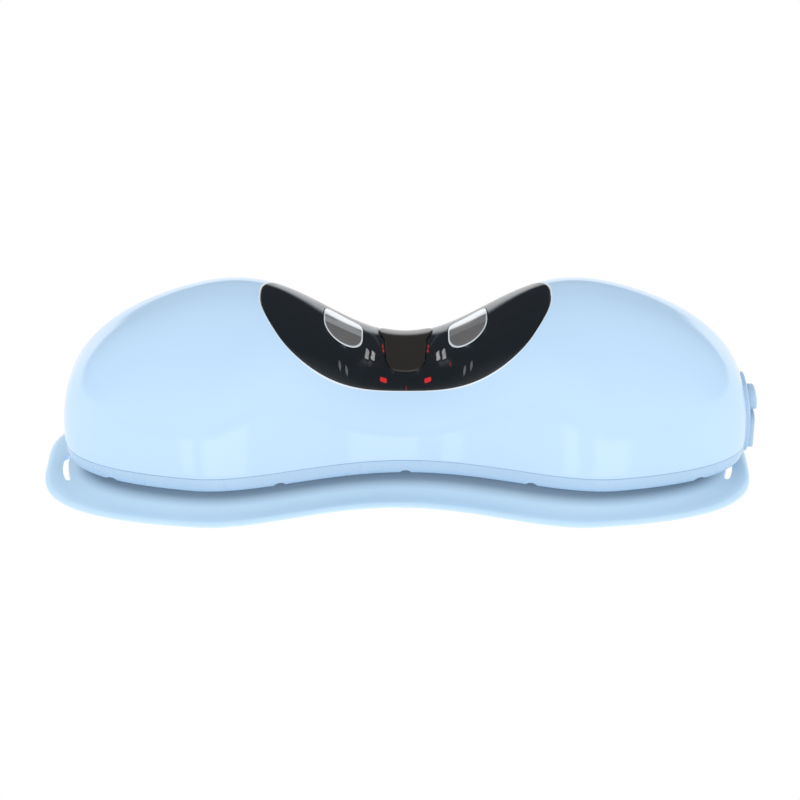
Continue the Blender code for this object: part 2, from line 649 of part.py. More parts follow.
def side_module():
    """Button, switch, bezel, charging port and its hinged cover."""
    surface = side_x
    middle, half = sum(BEZEL_Z) / 2, (BEZEL_Z[1] - BEZEL_Z[0]) / 2
    bezel = patch("side_bezel", side_outline(9.4, half, 5.0, 28), (0, middle), lambda a, b: surface(a, b) + GAP,
                  lambda a, b: surface(a, b) + 0.95, SKY_SATIN, 4, sideways)
    for name, outline, centre in (
        ("bezel_button_hole", side_outline(5.0, 3.3), (0, SIDE_BUTTON_Z)),
        ("bezel_cover_hole", side_outline(8.0, 4.95, 9.0), (0.2, sum(COVER_Z) / 2)),
    ):
        cut(bezel, patch(name, outline, centre, lambda a, b: 0 * a + 90, lambda a, b: 0 * a + 104, BLACK, 2, sideways))

    crown = SIDE_BUTTON_OUT
    button = patch("side_button", side_outline(4.5, 2.8), (0, SIDE_BUTTON_Z), lambda a, b: 0 * a + 91.6,
                   lambda a, b: crown - 0.02 * a**2 - 0.05 * (b - SIDE_BUTTON_Z + 1.2) ** 2, SKY_SATIN, 4, sideways,
                   origin=(91.6, 0, SIDE_BUTTON_Z))
    flange = patch("button_flange", side_outline(5.6, 3.7), (0, SIDE_BUTTON_Z), lambda a, b: 0 * a + 90.4,
                   lambda a, b: 0 * a + 91.9, BLACK, 2, sideways)
    join(button, flange)
    box("side_switch", (2.0, 5.0, 4.0), (90.4 - PRESS_ROOM - 1.0, 0, SIDE_BUTTON_Z + 0.4), STEEL)

    port = patch("usb_port", side_outline(4.45, 1.6, 6.0), (0, PORT_Z), lambda a, b: 0 * a + 88.2,
                 lambda a, b: 0 * a + 96.2, STEEL, 2, sideways)
    socket = patch("port_socket", side_outline(4.1, 1.25, 6.0), (0, PORT_Z), lambda a, b: 0 * a + 90.0,
                   lambda a, b: 0 * a + 99, BLACK, 2, sideways)
    cut(port, socket)

    middle, half = sum(COVER_Z) / 2, (COVER_Z[1] - COVER_Z[0]) / 2
    hinge = (98.1, COVER_HINGE_Y, middle)
    cover = patch("port_cover", side_outline(7.1, half, 8.0), (0.1, middle), lambda a, b: surface(a, b) + 0.45,
                  lambda a, b: COVER_OUT + 0.045 * (b - COVER_Z[0]) - 0.004 * a**2, SKY_SATIN, 4, sideways,
                  origin=hinge)
    lug = patch("cover_lug", side_outline(3.2, 0.85, 4.0), (0, PORT_Z), lambda a, b: 0 * a + 94.6,
                lambda a, b: 0 * a + 98.0, BLACK, 2, sideways)
    join(cover, lug)


def main():
    clear_scene()
    front_shell()
    rear_frame()
    face_skirt()
    bridge_window()
    bridge_tray()
    keys()
    lamps()
    face_panel()
    eye_pads()
    chassis_plate()
    frame_screws()
    air_works()
    electrics()
    side_module()
    middle = bpy.data.objects.new("mask_middle", None)
    middle.location.x = CENTRE_SHIFT * MM
    bpy.context.scene.collection.objects.link(middle)
    for piece in bpy.context.scene.collection.objects:
        if piece is not middle:
            piece.parent = middle


main()
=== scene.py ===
# %% [markdown]
# # Eye massager mask
#
# This lesson dresses a mechanical model of an eye massager in finished surfaces. The mask lies face
# down: the glossy two-lobed casing is up, the nose side looks at the camera, and a soft silicone
# skirt spreads under it. The mechanical model gives every piece's place, so the first cell loads it.

# %% Load the frame
import json
import math
from typing import NamedTuple

import bpy
import numpy as np
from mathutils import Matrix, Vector

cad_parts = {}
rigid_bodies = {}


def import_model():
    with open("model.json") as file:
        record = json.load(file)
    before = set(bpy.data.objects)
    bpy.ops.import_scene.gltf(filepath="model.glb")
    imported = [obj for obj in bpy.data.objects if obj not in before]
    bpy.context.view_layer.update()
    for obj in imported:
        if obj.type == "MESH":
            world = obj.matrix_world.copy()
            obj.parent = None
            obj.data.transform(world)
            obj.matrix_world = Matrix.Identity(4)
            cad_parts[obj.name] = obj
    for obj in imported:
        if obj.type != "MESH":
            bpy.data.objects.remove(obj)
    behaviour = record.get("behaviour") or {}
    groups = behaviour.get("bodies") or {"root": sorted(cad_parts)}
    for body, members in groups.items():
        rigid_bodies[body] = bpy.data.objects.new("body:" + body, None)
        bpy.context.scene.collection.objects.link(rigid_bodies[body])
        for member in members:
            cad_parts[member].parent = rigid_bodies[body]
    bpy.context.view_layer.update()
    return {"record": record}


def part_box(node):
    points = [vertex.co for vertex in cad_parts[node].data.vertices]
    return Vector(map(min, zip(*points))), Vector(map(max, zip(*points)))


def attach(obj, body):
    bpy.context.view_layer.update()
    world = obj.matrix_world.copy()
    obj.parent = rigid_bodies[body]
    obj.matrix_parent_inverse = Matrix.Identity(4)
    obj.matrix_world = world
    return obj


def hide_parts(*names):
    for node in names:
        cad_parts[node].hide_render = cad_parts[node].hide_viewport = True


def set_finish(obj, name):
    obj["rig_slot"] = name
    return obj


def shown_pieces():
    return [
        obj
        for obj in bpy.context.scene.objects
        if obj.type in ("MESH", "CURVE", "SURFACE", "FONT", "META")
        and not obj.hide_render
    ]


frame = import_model()

# %% [markdown]
# ## Working in millimetres from the casing's middle
#
# The shapes below are formulas in millimetres, measured from the middle of the hard casing. The
# skirt and the side module stick out unevenly, so the casing's middle isn't the model's origin. It is
# read from the box of the front shell, and one function moves finished points into the model's
# metres. Using the frame instead of typed-in positions keeps the surfaces on the mechanical parts.

# %% Where the casing stands
MM = 0.001
shell_low, shell_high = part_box("front_shell")
middle = np.array([(shell_low[0] + shell_high[0]) / 2, 0.0, 0.0])


def in_metres(points):
    """Points in millimetres from the casing's middle, as metres in the model's frame."""
    return np.asarray(points, float) * MM + middle


def in_millimetres(place):
    """A place in the model's frame, as millimetres from the casing's middle."""
    return (np.asarray(place, float) - middle) / MM


print("casing middle, mm:", (middle / MM).round(2))

# %% [markdown]
# ## The camera
#
# A long lens from far away keeps near and far edges at nearly the same scale, so the proportions read
# true. The camera stands one metre off, 22 degrees above the table, in front of the nose. A 158 mm
# lens on a 36 mm sensor then shows 227 mm across the frame. The aim is 1.6 mm left of and 4.4 mm below
# a point 25 mm over the casing's middle, which leaves even margins round the mask.

# %% Put up the camera
CAMERA_RISE = math.radians(22.0)
CAMERA_DISTANCE = 1.0
AIM_LEFT, AIM_DOWN = 0.00156, 0.00444
towards = Vector((0, math.cos(CAMERA_RISE), -math.sin(CAMERA_RISE)))
upwards = Vector((0, math.sin(CAMERA_RISE), math.cos(CAMERA_RISE)))
aim = Vector(in_metres((0, 0, 25.0))) + Vector((-AIM_LEFT, 0, 0)) - AIM_DOWN * upwards
camera_data = bpy.data.cameras.new("camera")
camera_data.lens = 158.4
camera_data.sensor_width = 36.0
camera_data.clip_start = 0.01
camera_data.clip_end = 20.0
camera = bpy.data.objects.new("camera", camera_data)
camera.location = aim - towards * CAMERA_DISTANCE
camera.rotation_euler = towards.to_track_quat("-Z", "Y").to_euler()
bpy.context.scene.collection.objects.link(camera)
bpy.context.scene.camera = camera
print("camera at", tuple(round(v, 3) for v in camera.location))

# %% [markdown]
# ## Kidney outlines
#
# Nearly every piece is drawn with one kind of plan: a kidney. It could be drawn as a Bezier curve,
# but a formula is easier to offset for walls and gaps. Each half is a superellipse, which is an
# ellipse with squarer shoulders, and the nose side has a smooth bump pushed inwards. Growing or
# shrinking the three half sizes offsets the whole outline.


# %% The outline as a formula
class Kidney(NamedTuple):
    """Two half superellipses sharing their length, with a notch in the nose side.

    A point is on the outline when |x / half_length| ** power plus |y / depth| ** power is 1, where
    depth is near for the nose side and far for the brow side. The notch then adds
    notch * (1 - (x / notch_half) ** 2) ** 2 to y on the nose side, and x is widened by flare times
    3 t**2 - 2 t**3, where t runs from 0 in the middle to 1 at 0.7 of the brow side.
    """

    half_length: float
    near: float
    far: float
    power: float
    notch: float = 0.0
    notch_half: float = 1.0
    far_power: float = 0.0
    flare: float = 0.0

    def grown(self, by):
        """The same outline with each half size larger by some millimetres."""
        return self._replace(half_length=self.half_length + by, near=self.near + by, far=self.far + by)

    def notch_at(self, x):
        """How far the notch pushes the nose side inwards at x."""
        return self.notch * np.clip(1 - (x / self.notch_half) ** 2, 0, None) ** 2

    def points(self, count):
        """(x, y) round the outline, anticlockwise from +X, at the angles an ellipse would have."""
        turn = np.arange(count) * 2 * np.pi / count
        nose_side = np.sin(turn) < 0
        depth = np.where(nose_side, self.near, self.far)
        power = np.where(nose_side, self.power, self.far_power or self.power)
        angle = np.arctan2(depth * np.sin(turn), self.half_length * np.cos(turn))
        across = abs(np.cos(angle) / self.half_length) ** power
        reach = (across + abs(np.sin(angle) / depth) ** power) ** (-1 / power)
        x = reach * np.cos(angle)
        y = reach * np.sin(angle) + np.where(nose_side, self.notch_at(x), 0)
        share = np.clip(y / self.far / 0.7, 0, 1)
        x = x * (1 + self.flare * share**2 * (3 - 2 * share))
        return np.stack([x, y], axis=1)


casing = Kidney(97.0, 39.7, 36.5, 2.8, 17.35, 60.0)
print("casing corners, mm:", casing.points(4).round(1).tolist())

# %% [markdown]
# ## The dome
#
# The front of the mask is one flowing surface: two lobes with a saddle over the nose. It could be
# sculpted, or lofted between a few hand-drawn sections. A height formula is better here because the
# shell, the window and the keys all have to lie in the same skin. For a point in plan, the formula
# asks how far out it lies between the middle and the outline, and turns that into a height.

# %% Height of the skin
EQUATOR, PARTING, FRAME_BOTTOM = 15.0, 11.0, 7.0
DOME_TOP, DOME_POWER = 57.8, 2.52
SADDLE_DIP, SADDLE_HALF, SADDLE_POWER = 22.7, 77.5, 6
TUCK = 0.012
HALVINGS = 36


def gauge(x, y, grow=0.0):
    """The scale at which the casing outline, grown by some millimetres, passes through (x, y).

    It is found by halving: at each step the point is tried against the outline at the middle scale.
    """
    shape = casing.grown(grow)
    low, high = np.zeros_like(x), np.full_like(x, 1.5)
    for _ in range(HALVINGS):
        scale = np.maximum((low + high) / 2, 1e-9)
        across, along = x / scale, y / scale
        nose_side = y < 0
        depth = np.where(nose_side, shape.near, shape.far)
        along = along - np.where(nose_side, shape.notch_at(across), 0)
        outside = abs(across / shape.half_length) ** shape.power + abs(along / depth) ** shape.power > 1
        low, high = np.where(outside, scale, low), np.where(outside, high, scale)
    return (low + high) / 2


def dome(x, y, grow=0.0):
    """Height: the equator plus (1 - gauge ** 2.52) ** (1 / 2.52) of the rise to the ridge, and the
    ridge is flat at 57.8 mm but for a dip of 22.7 (1 - (x / 77.5) ** 2) ** 6 mm over the nose."""
    reach = np.clip(gauge(x, y, grow), 0, 1)
    dip = np.clip(1 - (x / SADDLE_HALF) ** 2, 0, None) ** SADDLE_POWER
    top = DOME_TOP + grow - SADDLE_DIP * dip
    return EQUATOR + (1 - reach**DOME_POWER) ** (1 / DOME_POWER) * (top - EQUATOR)


def tuck(z):
    """Below the equator the casing draws in by 1.2% of its plan at the frame's lower edge."""
    drop = np.clip((EQUATOR - z) / (EQUATOR - FRAME_BOTTOM), 0, None)
    return 1 - TUCK * drop**2


print("saddle height, mm:", float(dome(np.zeros(1), np.zeros(1))[0]))

# %% [markdown]
# ## The window's edge
#
# The window could have a kidney outline of its own, but seen from the front its edge is a smooth
# smile, lowest over the nose. So the smile is the formula: a height for each x. The window is all of
# the dome that stands above it. The crossing is found by halving along rays from the middle. The rays
# are squeezed towards the long axis, so that enough of them reach the tight corners. The class has the
# same two methods as a kidney, so the same helpers can use both.


# %% Where the dome meets the smile
WINDOW_HALF = 41.0
RAY_SQUEEZE = 0.55


class WindowEdge(NamedTuple):
    """With t = |x| / 41 the edge is 30.2 + 17.5 t**2 + 20.4 t**4 - 15.2 t**6 mm high.

    by pushes the outline outwards along its own normals.
    """

    by: float = 0.0

    def grown(self, by):
        """The same edge pushed outwards by some millimetres more."""
        return self._replace(by=self.by + by)

    def points(self, count):
        """(x, y) round the edge, anticlockwise from +X, one point to a ray."""
        step = np.arange(count) * 2 * np.pi / count
        turn = np.arctan2(RAY_SQUEEZE * np.sin(step), np.cos(step))
        ray = np.stack([np.cos(turn), np.sin(turn)], axis=1)
        near, far = np.zeros(count), np.full(count, 45.0)
        for _ in range(40):
            reach = (near + far) / 2
            x, y = (reach[:, None] * ray).T
            out = (x / WINDOW_HALF) ** 2
            smile = 30.2 + 17.5 * out + 20.4 * out**2 - 15.2 * out**3
            inside = (dome(x, y) > smile) & (abs(x) < WINDOW_HALF)
            near, far = np.where(inside, reach, near), np.where(inside, far, reach)
        flat = near[:, None] * ray
        along = np.roll(flat, -1, axis=0) - np.roll(flat, 1, axis=0)
        length = np.linalg.norm(along, axis=1)[:, None]
        outwards = np.stack([along[:, 1], -along[:, 0]], axis=1) / length
        return flat + self.by * outwards


window_edge = WindowEdge()
print("window corners, mm:", window_edge.points(4).round(1).tolist())

# %% [markdown]
# ## From rings to a mesh
#
# Every new piece is a stack of rings, each an array of points. The stack becomes a mesh when each
# ring's points are joined to the next ring's by four-sided faces. A stack can close on itself, as the
# wall of a shell does, or its two ends close on their middles. The mesh is turned right side out by
# its signed volume, which is negative when the faces look inwards.


# %% A mesh from rings
def add_piece(name, points, faces, body, replaced=(), finish=None, sharp=35.0):
    """A smooth mesh object from millimetre points, riding on a body and replacing CAD nodes."""
    mesh = bpy.data.meshes.new(name)
    mesh.from_pydata(in_metres(points).tolist(), [], faces)
    mesh.update()
    mesh.shade_smooth()
    mesh.set_sharp_from_angle(angle=math.radians(sharp))
    piece = bpy.data.objects.new(name, mesh)
    bpy.context.scene.collection.objects.link(piece)
    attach(piece, body)
    if replaced:
        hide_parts(*replaced)
        finish = finish or slot_of[replaced[0]]
    if finish:
        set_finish(piece, finish)
    return piece


slot_of = {part["node"]: part["material_slot"] for part in frame["record"]["subparts"]}


def signed_volume(points, quads):
    """A sixth of the sum of a . (b x c) over the triangles that the quads split into."""
    a, b, c, d = (points[quads[:, i]] for i in range(4))
    six_volumes = np.einsum("ij,ij->i", a, np.cross(b, c)) + np.einsum("ij,ij->i", a, np.cross(c, d))
    return six_volumes.sum() / 6


def skin_rings(name, rings, body, closed=False, **more):
    """Joins rings of equal count. closed joins the last ring to the first; if not, the ends fan in."""
    rings = np.asarray(rings, float)
    rows, count = rings.shape[:2]
    points = rings.reshape(-1, 3)
    row = np.arange(rows if closed else rows - 1)[:, None] * count
    column = np.arange(count)[None, :]
    after, above = (column + 1) % count, (row + count) % (rows * count)
    quads = np.stack([row + column, row + after, above + after, above + column], axis=-1).reshape(-1, 4)
    fans = []
    if not closed:
        points = np.vstack([points, rings[0].mean(axis=0), rings[-1].mean(axis=0)])
        ends = ((0, rows * count, True), ((rows - 1) * count, rows * count + 1, False))
        for start, hub, turned in ends:
            edge = start + np.arange(count)
            ahead = start + (np.arange(count) + 1) % count
            pair = (ahead, edge) if turned else (edge, ahead)
            fans.append(np.stack([*pair, np.full(count, hub)], axis=1))
    caps = np.vstack(fans) if fans else np.zeros((0, 3), int)
    solid = np.vstack([quads, np.column_stack([caps, caps[:, 2]])]) if fans else quads
    if signed_volume(points, solid) < 0:
        quads, caps = quads[:, ::-1], caps[:, ::-1]
    piece = add_piece(name, points, quads.tolist() + caps.tolist(), body, **more)
    print(f"{name}: {len(points)} points")
    return piece


def level(outline, z):
    """An outline lifted to one height."""
    return np.column_stack([outline, np.full(len(outline), float(z))])


def on_skin(outline, shift=0.0):
    """An outline laid on the dome, shift millimetres above it."""
    return np.column_stack([outline, dome(outline[:, 0], outline[:, 1]) + shift])


def paint_highlight(piece, strength):
    """Stores a painted highlight as an "edge" value per point, which the moulded finish turns paler."""
    layer = piece.data.attributes.new("edge", "FLOAT", "POINT")
    layer.data.foreach_set("value", np.asarray(strength, float))


# %% [markdown]
# ## Cutting openings
#
# The shell has a hole for the side button and a pocket for the charging port, the window has three
# holes for keys, and the skirt has two strap slots. Building the holes into the rings would bend the
# grid, so they are cut with a Boolean instead, which leaves the rest of the surface untouched. The
# cut is applied at once and its tool is deleted, so that no helper is left in the file.


# %% A cutter that is used once
def bake_modifiers(piece):
    """Replaces a piece's mesh by what its modifiers make of it."""
    graph = bpy.context.evaluated_depsgraph_get()
    mesh = bpy.data.meshes.new_from_object(piece.evaluated_get(graph))
    piece.modifiers.clear()
    piece.data = mesh


def cut_away(piece, *tools, sharp=35.0):
    """Takes each tool's volume from the piece, exactly, then deletes the tool."""
    for tool in tools:
        change = piece.modifiers.new("cut", "BOOLEAN")
        change.operation = "DIFFERENCE"
        change.solver = "EXACT"
        change.object = tool
    bpy.context.view_layer.update()
    bake_modifiers(piece)
    for tool in tools:
        bpy.data.objects.remove(tool, do_unlink=True)
    piece.data.shade_smooth()
    piece.data.set_sharp_from_angle(angle=math.radians(sharp))
    return piece


def prism(outline, low, high, axis="Z"):
    """A straight cutter over an outline, along Z, or along X for an outline in (y, z)."""
    stack = np.stack([level(outline, low), level(outline, high)])
    if axis == "X":
        stack = stack[:, :, [2, 0, 1]]
    return skin_rings("cutter", stack, "mask_body")


# %% [markdown]
# ## The front shell
#
# The front shell is a thin glossy moulding. Its outside runs from a rounded lip round the window,
# over the dome and down past the equator to the parting line. Its inside repeats the same way 2 mm
# further in. A Solidify modifier could add the wall, but two sets of rings give clean rims: a quarter
# round at the window and a small radius at the parting line. The lip at the window gets a painted
# highlight: its rings get an edge value, which makes them paler than the rest.

# %% Outside, lip and inside of the shell
AROUND = 600
WALL = 2.0
LIP, LIP_DEPTH, LIP_RINGS = 0.45, 1.6, 6
CLIMB_RINGS = 84
WINDOW_PLAY = 0.06
rim = window_edge.grown(WINDOW_PLAY)
foot = PARTING + 0.04
foot_profile = [(foot, 0.14), (foot + 0.05, 0.04), (foot + 0.16, 0.0), (12.5, 0.0), (13.7, 0.0)]


def between(inner, outer, share):
    """The outline a share of the way from the inner to the outer one."""
    return inner + (outer - inner) * share


def shell_rings():
    """Rings in order: up the outside, over the lip, back down the inside."""
    lift = np.sin(np.linspace(0, math.pi / 2, CLIMB_RINGS))
    shares = (1 - lift**DOME_POWER) ** (1 / DOME_POWER)
    outer, lip = casing.points(AROUND), rim.grown(LIP).points(AROUND)
    rings = [level(outer * tuck(z) * (1 - inset / casing.half_length), z) for z, inset in foot_profile]
    rings += [on_skin(between(lip, outer, share)) for share in shares]
    for angle in np.linspace(0.15, 1, 7) * math.pi / 2:
        reach = LIP * (1 - math.sin(angle))
        rings.append(on_skin(rim.grown(reach).points(AROUND), -LIP * (1 - math.cos(angle))))
    inner, inner_lip = casing.grown(-WALL).points(AROUND), rim.points(AROUND)
    rings.append(on_skin(inner_lip, -LIP_DEPTH))
    for share in shares[::-1][2::4]:
        flat = between(inner_lip, inner, share)
        rings.append(np.column_stack([flat, dome(flat[:, 0], flat[:, 1], -WALL)]))
    rings += [level(inner, EQUATOR), level(inner * tuck(foot), foot)]
    return rings


front_rings = shell_rings()
front_shell = skin_rings("front_shell_skin", front_rings, "mask_body", closed=True,
                         replaced=["front_shell"])
# The lip's rings carry the painted highlight along the window's edge.
lip_start = len(foot_profile) + CLIMB_RINGS
lip_highlight_rows = [lip_start <= row < lip_start + LIP_RINGS for row in range(len(front_rings))]
paint_highlight(front_shell, np.repeat(lip_highlight_rows, AROUND))

# %% [markdown]
# ## The rear frame
#
# Under the parting line a separate band carries the face side. Only 4 mm of it shows, but its two
# edges matter: a hairline gap at the top, and a lower edge with small clip notches that break the
# straight line. The band is a profile carried round the kidney outline. Each profile point is an
# inset and a height, and the notches are cut afterwards.

# %% Profile of the frame
frame_profile = [
    (0.14, 10.96), (0.04, 10.9), (0.0, 10.78), (0.0, 9.2), (0.05, 8.2), (0.18, 7.5), (0.45, 7.12),
    (0.8, 7.0), (2.8, 7.0), (3.2, 7.3), (3.2, 11.5), (12.0, 11.5), (12.0, 13.5), (3.8, 13.5),
    (3.8, 17.5), (2.6, 17.5), (2.6, 10.96),
]
clip_places = (-82.0, -35.0, 0.0, 35.0, 82.0)
frame_rings = [level(casing.grown(-inset).points(AROUND) * tuck(z), z) for inset, z in frame_profile]
rear_frame = skin_rings("rear_frame_band", frame_rings, "mask_body", closed=True,
                        replaced=["rear_frame"])


def near_edge(x):
    """Y of the casing's nose side at x."""
    depth = (1 - abs(x / casing.half_length) ** casing.power) ** (1 / casing.power)
    return -casing.near * depth + float(casing.notch_at(np.array(x)))


def clip_notch(x):
    """A half-round cutter that leaves a notch 3.2 mm wide and 0.9 mm high in the lower edge."""
    turn = np.arange(20) * 2 * np.pi / 20
    across, height = x + 1.6 * np.cos(turn), FRAME_BOTTOM - 0.1 + 1.0 * np.sin(turn)
    front, back = (np.stack([across, np.full(20, near_edge(x) + y), height], axis=1) for y in (-2, 4.5))
    return skin_rings("cutter", [front, back], "mask_body")


cut_away(rear_frame, *[clip_notch(x) for x in clip_places])
print("frame clips:", len(clip_places))

# %% [markdown]
# ## The face skirt
#
# The silicone skirt is what the wearer feels. It hangs from the frame as a thin upright neck, turns
# outwards in a hollow curve and ends in a flat leaf 1.2 mm thick, longer than the casing, with a
# strap slot in each ear. It is one moulding, so it is one closed strip: out along the top, round the
# edge, and back underneath. Its plan blends from the neck's kidney to the leaf's wider, squarer one.
# The frame overhangs the neck, and soft light from all sides can't make that recess dark enough, so
# a shade value stored on the points deepens it.

# %% Neck, flare and leaf
neck_place, leaf_place = [-1.0, 0.0], [-2.3, 2.3]
neck = Kidney(88.5, 35.5, 32.5, 2.8, 17.35, 60.0).points(AROUND) + neck_place
root = Kidney(87.0, 34.0, 31.0, 2.8, 17.35, 60.0).points(AROUND) + neck_place
leaf = Kidney(100.3, 48.3, 42.3, 3.3, 15.7, 54.5).points(AROUND) + leaf_place
NECK_TOP = 11.2
FLARE_END = 0.72


def flare(share):
    """Top height of the skirt: 1.2 mm on the leaf, plus 6.2 s ** 2.3 where s runs from 0 at 0.72 of
    the way out to 1 at the neck, less 0.75 e ** 2 where e runs from 0 at 0.86 to 1 at the edge."""
    thin = np.clip((share - 0.86) / 0.14, 0, 1) ** 2
    return 1.2 + 6.2 * np.clip((FLARE_END - share) / FLARE_END, 0, 1) ** 2.3 - 0.75 * thin


top_shares = np.concatenate([np.linspace(0.0, FLARE_END, 34), np.linspace(0.75, 0.99, 14)])
under_neck = [(0.42, 0.5), (0.33, 1.4), (0.22, 2.9), (0.1, 4.6)]
skirt_rings = [level(root, NECK_TOP), level(neck, NECK_TOP), level(neck, 9.0)]
skirt_rings += [level(between(neck, leaf, share), flare(share)) for share in top_shares]
skirt_rings += [level(leaf, 0.36), level(leaf, 0.2), level(between(neck, leaf, 0.998), 0.06)]
skirt_rings += [level(between(neck, leaf, share), 0.0) for share in (0.985, 0.75, 0.5)]
skirt_rings += [level(between(neck, leaf, share), z) for share, z in under_neck]
skirt_rings += [level(root, 6.4)]
face_skirt = skin_rings("face_skirt_leaf", skirt_rings, "mask_body", closed=True,
                        replaced=["face_skirt"])

# %% [markdown]
# ## Shade and strap slots
#
# The shade is full on the neck and fades out 0.38 of the way along the flare. It goes on before the
# slots are cut, while the points still lie in rows. Each slot is one outline, cut straight down.


# %% Shade by row, then the slots
shade = np.zeros(len(skirt_rings))
shade[:3 + len(top_shares)] = np.r_[1, 1, 1, np.clip((0.38 - top_shares) / 0.22, 0, 1) ** 1.5]
shade_layer = face_skirt.data.attributes.new("shade", "FLOAT", "POINT")
shade_layer.data.foreach_set("value", np.repeat(shade, AROUND))


def strap_slot(side):
    """A slot 18.5 mm long and 1.7 mm wide, bowed like the ear, with round ends."""
    along = np.linspace(-1, 1, 25)
    half = 0.85 * np.sqrt(np.clip(1 - abs(along) ** 16, 0.02, None))
    y = along * 9.25 - 5.0
    x = side * (94.9 - y**2 / 100) - 2.3
    ring = np.vstack([np.stack([x + half, y], axis=1), np.stack([x - half, y], axis=1)[::-1]])
    return prism(ring, -2.0, 6.0)


cut_away(face_skirt, strap_slot(-1), strap_slot(1))
print("skirt mesh:", len(face_skirt.data.polygons), "faces")

# %% [markdown]
# ## Patches that lie in the skin
#
# The window and the keys are islands in the dome. Each is a stack of rings shrinking from its outline
# to its middle, once for the top and once for the underside. The top ring turns over in a quarter
# round, as a moulded edge does. Because their heights come from the same dome formula, the islands
# follow the saddle without any fitting.


# %% An island in the dome
KEY_AROUND = 240


def island(name, outline, place, lift, depth, radius, body, count=KEY_AROUND, levels=26, crown=0.0,
           **more):
    """Rings from the underside's middle out to the edge, round the edge, and in over the top.

    The top lies lift above the dome and crown higher at its middle; the edge turns in radius.
    """
    rings = []
    for share in np.linspace(0.05, 1, 8):
        rings.append(on_skin(outline.points(count) * share + place, -depth))
    for angle in np.linspace(0, 1, 7) * math.pi / 2:
        inset = radius * (1 - math.cos(angle))
        ring = outline.grown(-inset).points(count) + place
        rings.append(on_skin(ring, lift - radius * (1 - math.sin(angle))))
    top = outline.grown(-radius).points(count)
    for share in np.linspace(1, 0.02, levels)[1:]:
        rings.append(on_skin(top * share + place, lift + crown * (1 - share**2)))
    return skin_rings(name, rings, body, **more)


# %% [markdown]
# ## The three keys
#
# Two silver keys flank a longer brown one, and each is an island with its own plan. The silver ones
# have a painted highlight on the rim, and a painted reflection: a bright strip at the back edge and a
# faint band in front of it. All three are edge values worked out from each point's place, so they
# stay on the key from every side.

# %% Plans, lifts and painted highlights of the keys
KEY_DEPTH, KEY_RADIUS, KEY_CROWN = 1.6, 0.26, 0.1
reflection_band_strength = {"left_key": 0.3, "right_key": 0.1}
key_plans = {
    "left_key": (Kidney(5.5, 11.3, 11.5, 2.2, far_power=6.0), np.array([-17.6, 2.0]), 0.15),
    "power_key": (Kidney(5.7, 15.6, 17.0, 5.0, far_power=6.0, flare=0.36), np.array([0.0, 4.0]), 0.5),
    "right_key": (Kidney(5.5, 11.3, 11.5, 2.2, far_power=6.0), np.array([17.6, 2.0]), 0.15),
}


def key_highlights(cap, place, strength):
    """Edge values painting a side key's highlight and reflection: 1 on the seven rim rings, and by
    distance behind a slanting line.

    With b the millimetres behind the line, the strip is b / 1.2 and the band lies where b is between
    -5.6 and -0.9, fading over 0.8 mm in front and 0.5 mm behind.
    """
    spots = (np.array([v.co for v in cap.data.vertices]) / MM - middle / MM)[:, :2] - place
    row = np.arange(len(spots)) // KEY_AROUND
    back = spots[:, 1] - 4.5 + 0.25 * np.sign(place[0]) * spots[:, 0]
    strip = np.clip(back / 1.2, 0, 1)
    band = np.clip((back + 5.6) / 0.8, 0, 1) * np.clip((-0.9 - back) / 0.5, 0, 1) * strength
    rim_highlight = np.where((row >= 8) & (row < 15), 1.0, 0.0)
    return np.maximum.reduce([rim_highlight, strip, band])


for name, (plan, place, lift) in key_plans.items():
    cap = island(f"{name}_cap", plan, place, lift, KEY_DEPTH, KEY_RADIUS, name, crown=KEY_CROWN,
                 replaced=[name])
    # The silver keys take their painted highlight and painted reflection.
    if name in reflection_band_strength:
        paint_highlight(cap, key_highlights(cap, place, reflection_band_strength[name]))

# %% [markdown]
# ## The smoked window
#
# The window is a clear smoked moulding, polished on both sides, with a hole for each key. It is an
# island like the keys, only larger. Its holes are cut with the keys' own outlines grown by the
# clearance, so the dark line round each key has the same width everywhere.

# %% The window and its three holes
WINDOW_DEPTH, WINDOW_RADIUS = 1.8, 0.3
KEY_PLAY = 0.15
window = island("bridge_window_glass", window_edge.grown(-WINDOW_PLAY), np.zeros(2), 0.0, WINDOW_DEPTH,
                WINDOW_RADIUS, "mask_body", count=420, levels=60, replaced=["bridge_window"])
key_holes = [plan.grown(KEY_PLAY).points(120) + place for plan, place, _ in key_plans.values()]
cut_away(window, *[prism(hole, 20, 60) for hole in key_holes])
print("window mesh:", len(window.data.polygons), "faces")

# %% [markdown]
# ## Lights and posts behind the window
#
# The red lamps are tiny: dots less than half a millimetre across and two short wedges. Of the posts
# that tie the window to its tray only the highlights on their polished sides show, so each post is
# drawn as a pair of slim glowing prongs, a painted highlight, and the post itself is hidden. The lamps
# are islands too, sunk under the window, and a prong is a short upright stack of slanting rings.

# %% Lamps and prongs
LAMP_TOP, LAMP_FOOT, LAMP_RADIUS = -2.3, 3.2, 0.05
PRONG_TOP, PRONG_FOOT, PRONG_SLANT = -2.3, -3.9, 0.35
lamp_dot, lamp_bar = Kidney(0.2, 0.2, 0.2, 2.0), Kidney(0.95, 0.24, 0.24, 2.0)
lamp_places = [(lamp_dot, side * 6.65, y) for side in (-1, 1) for y in (7.1, 2.1)]
lamp_places += [(lamp_bar, side * 6.35, -13.0) for side in (-1, 1)]
lamp_places += [(lamp_dot, 12.9, -11.1), (lamp_dot._replace(near=0.12, far=0.12), 0.2, -14.4)]
for number, (plan, x, y) in enumerate(lamp_places, 1):
    island(f"lamp_{number}_lens", plan, np.array([x, y]), LAMP_TOP, LAMP_FOOT, LAMP_RADIUS, "mask_body",
           count=24, levels=5, replaced=[f"lamp_{number}"])


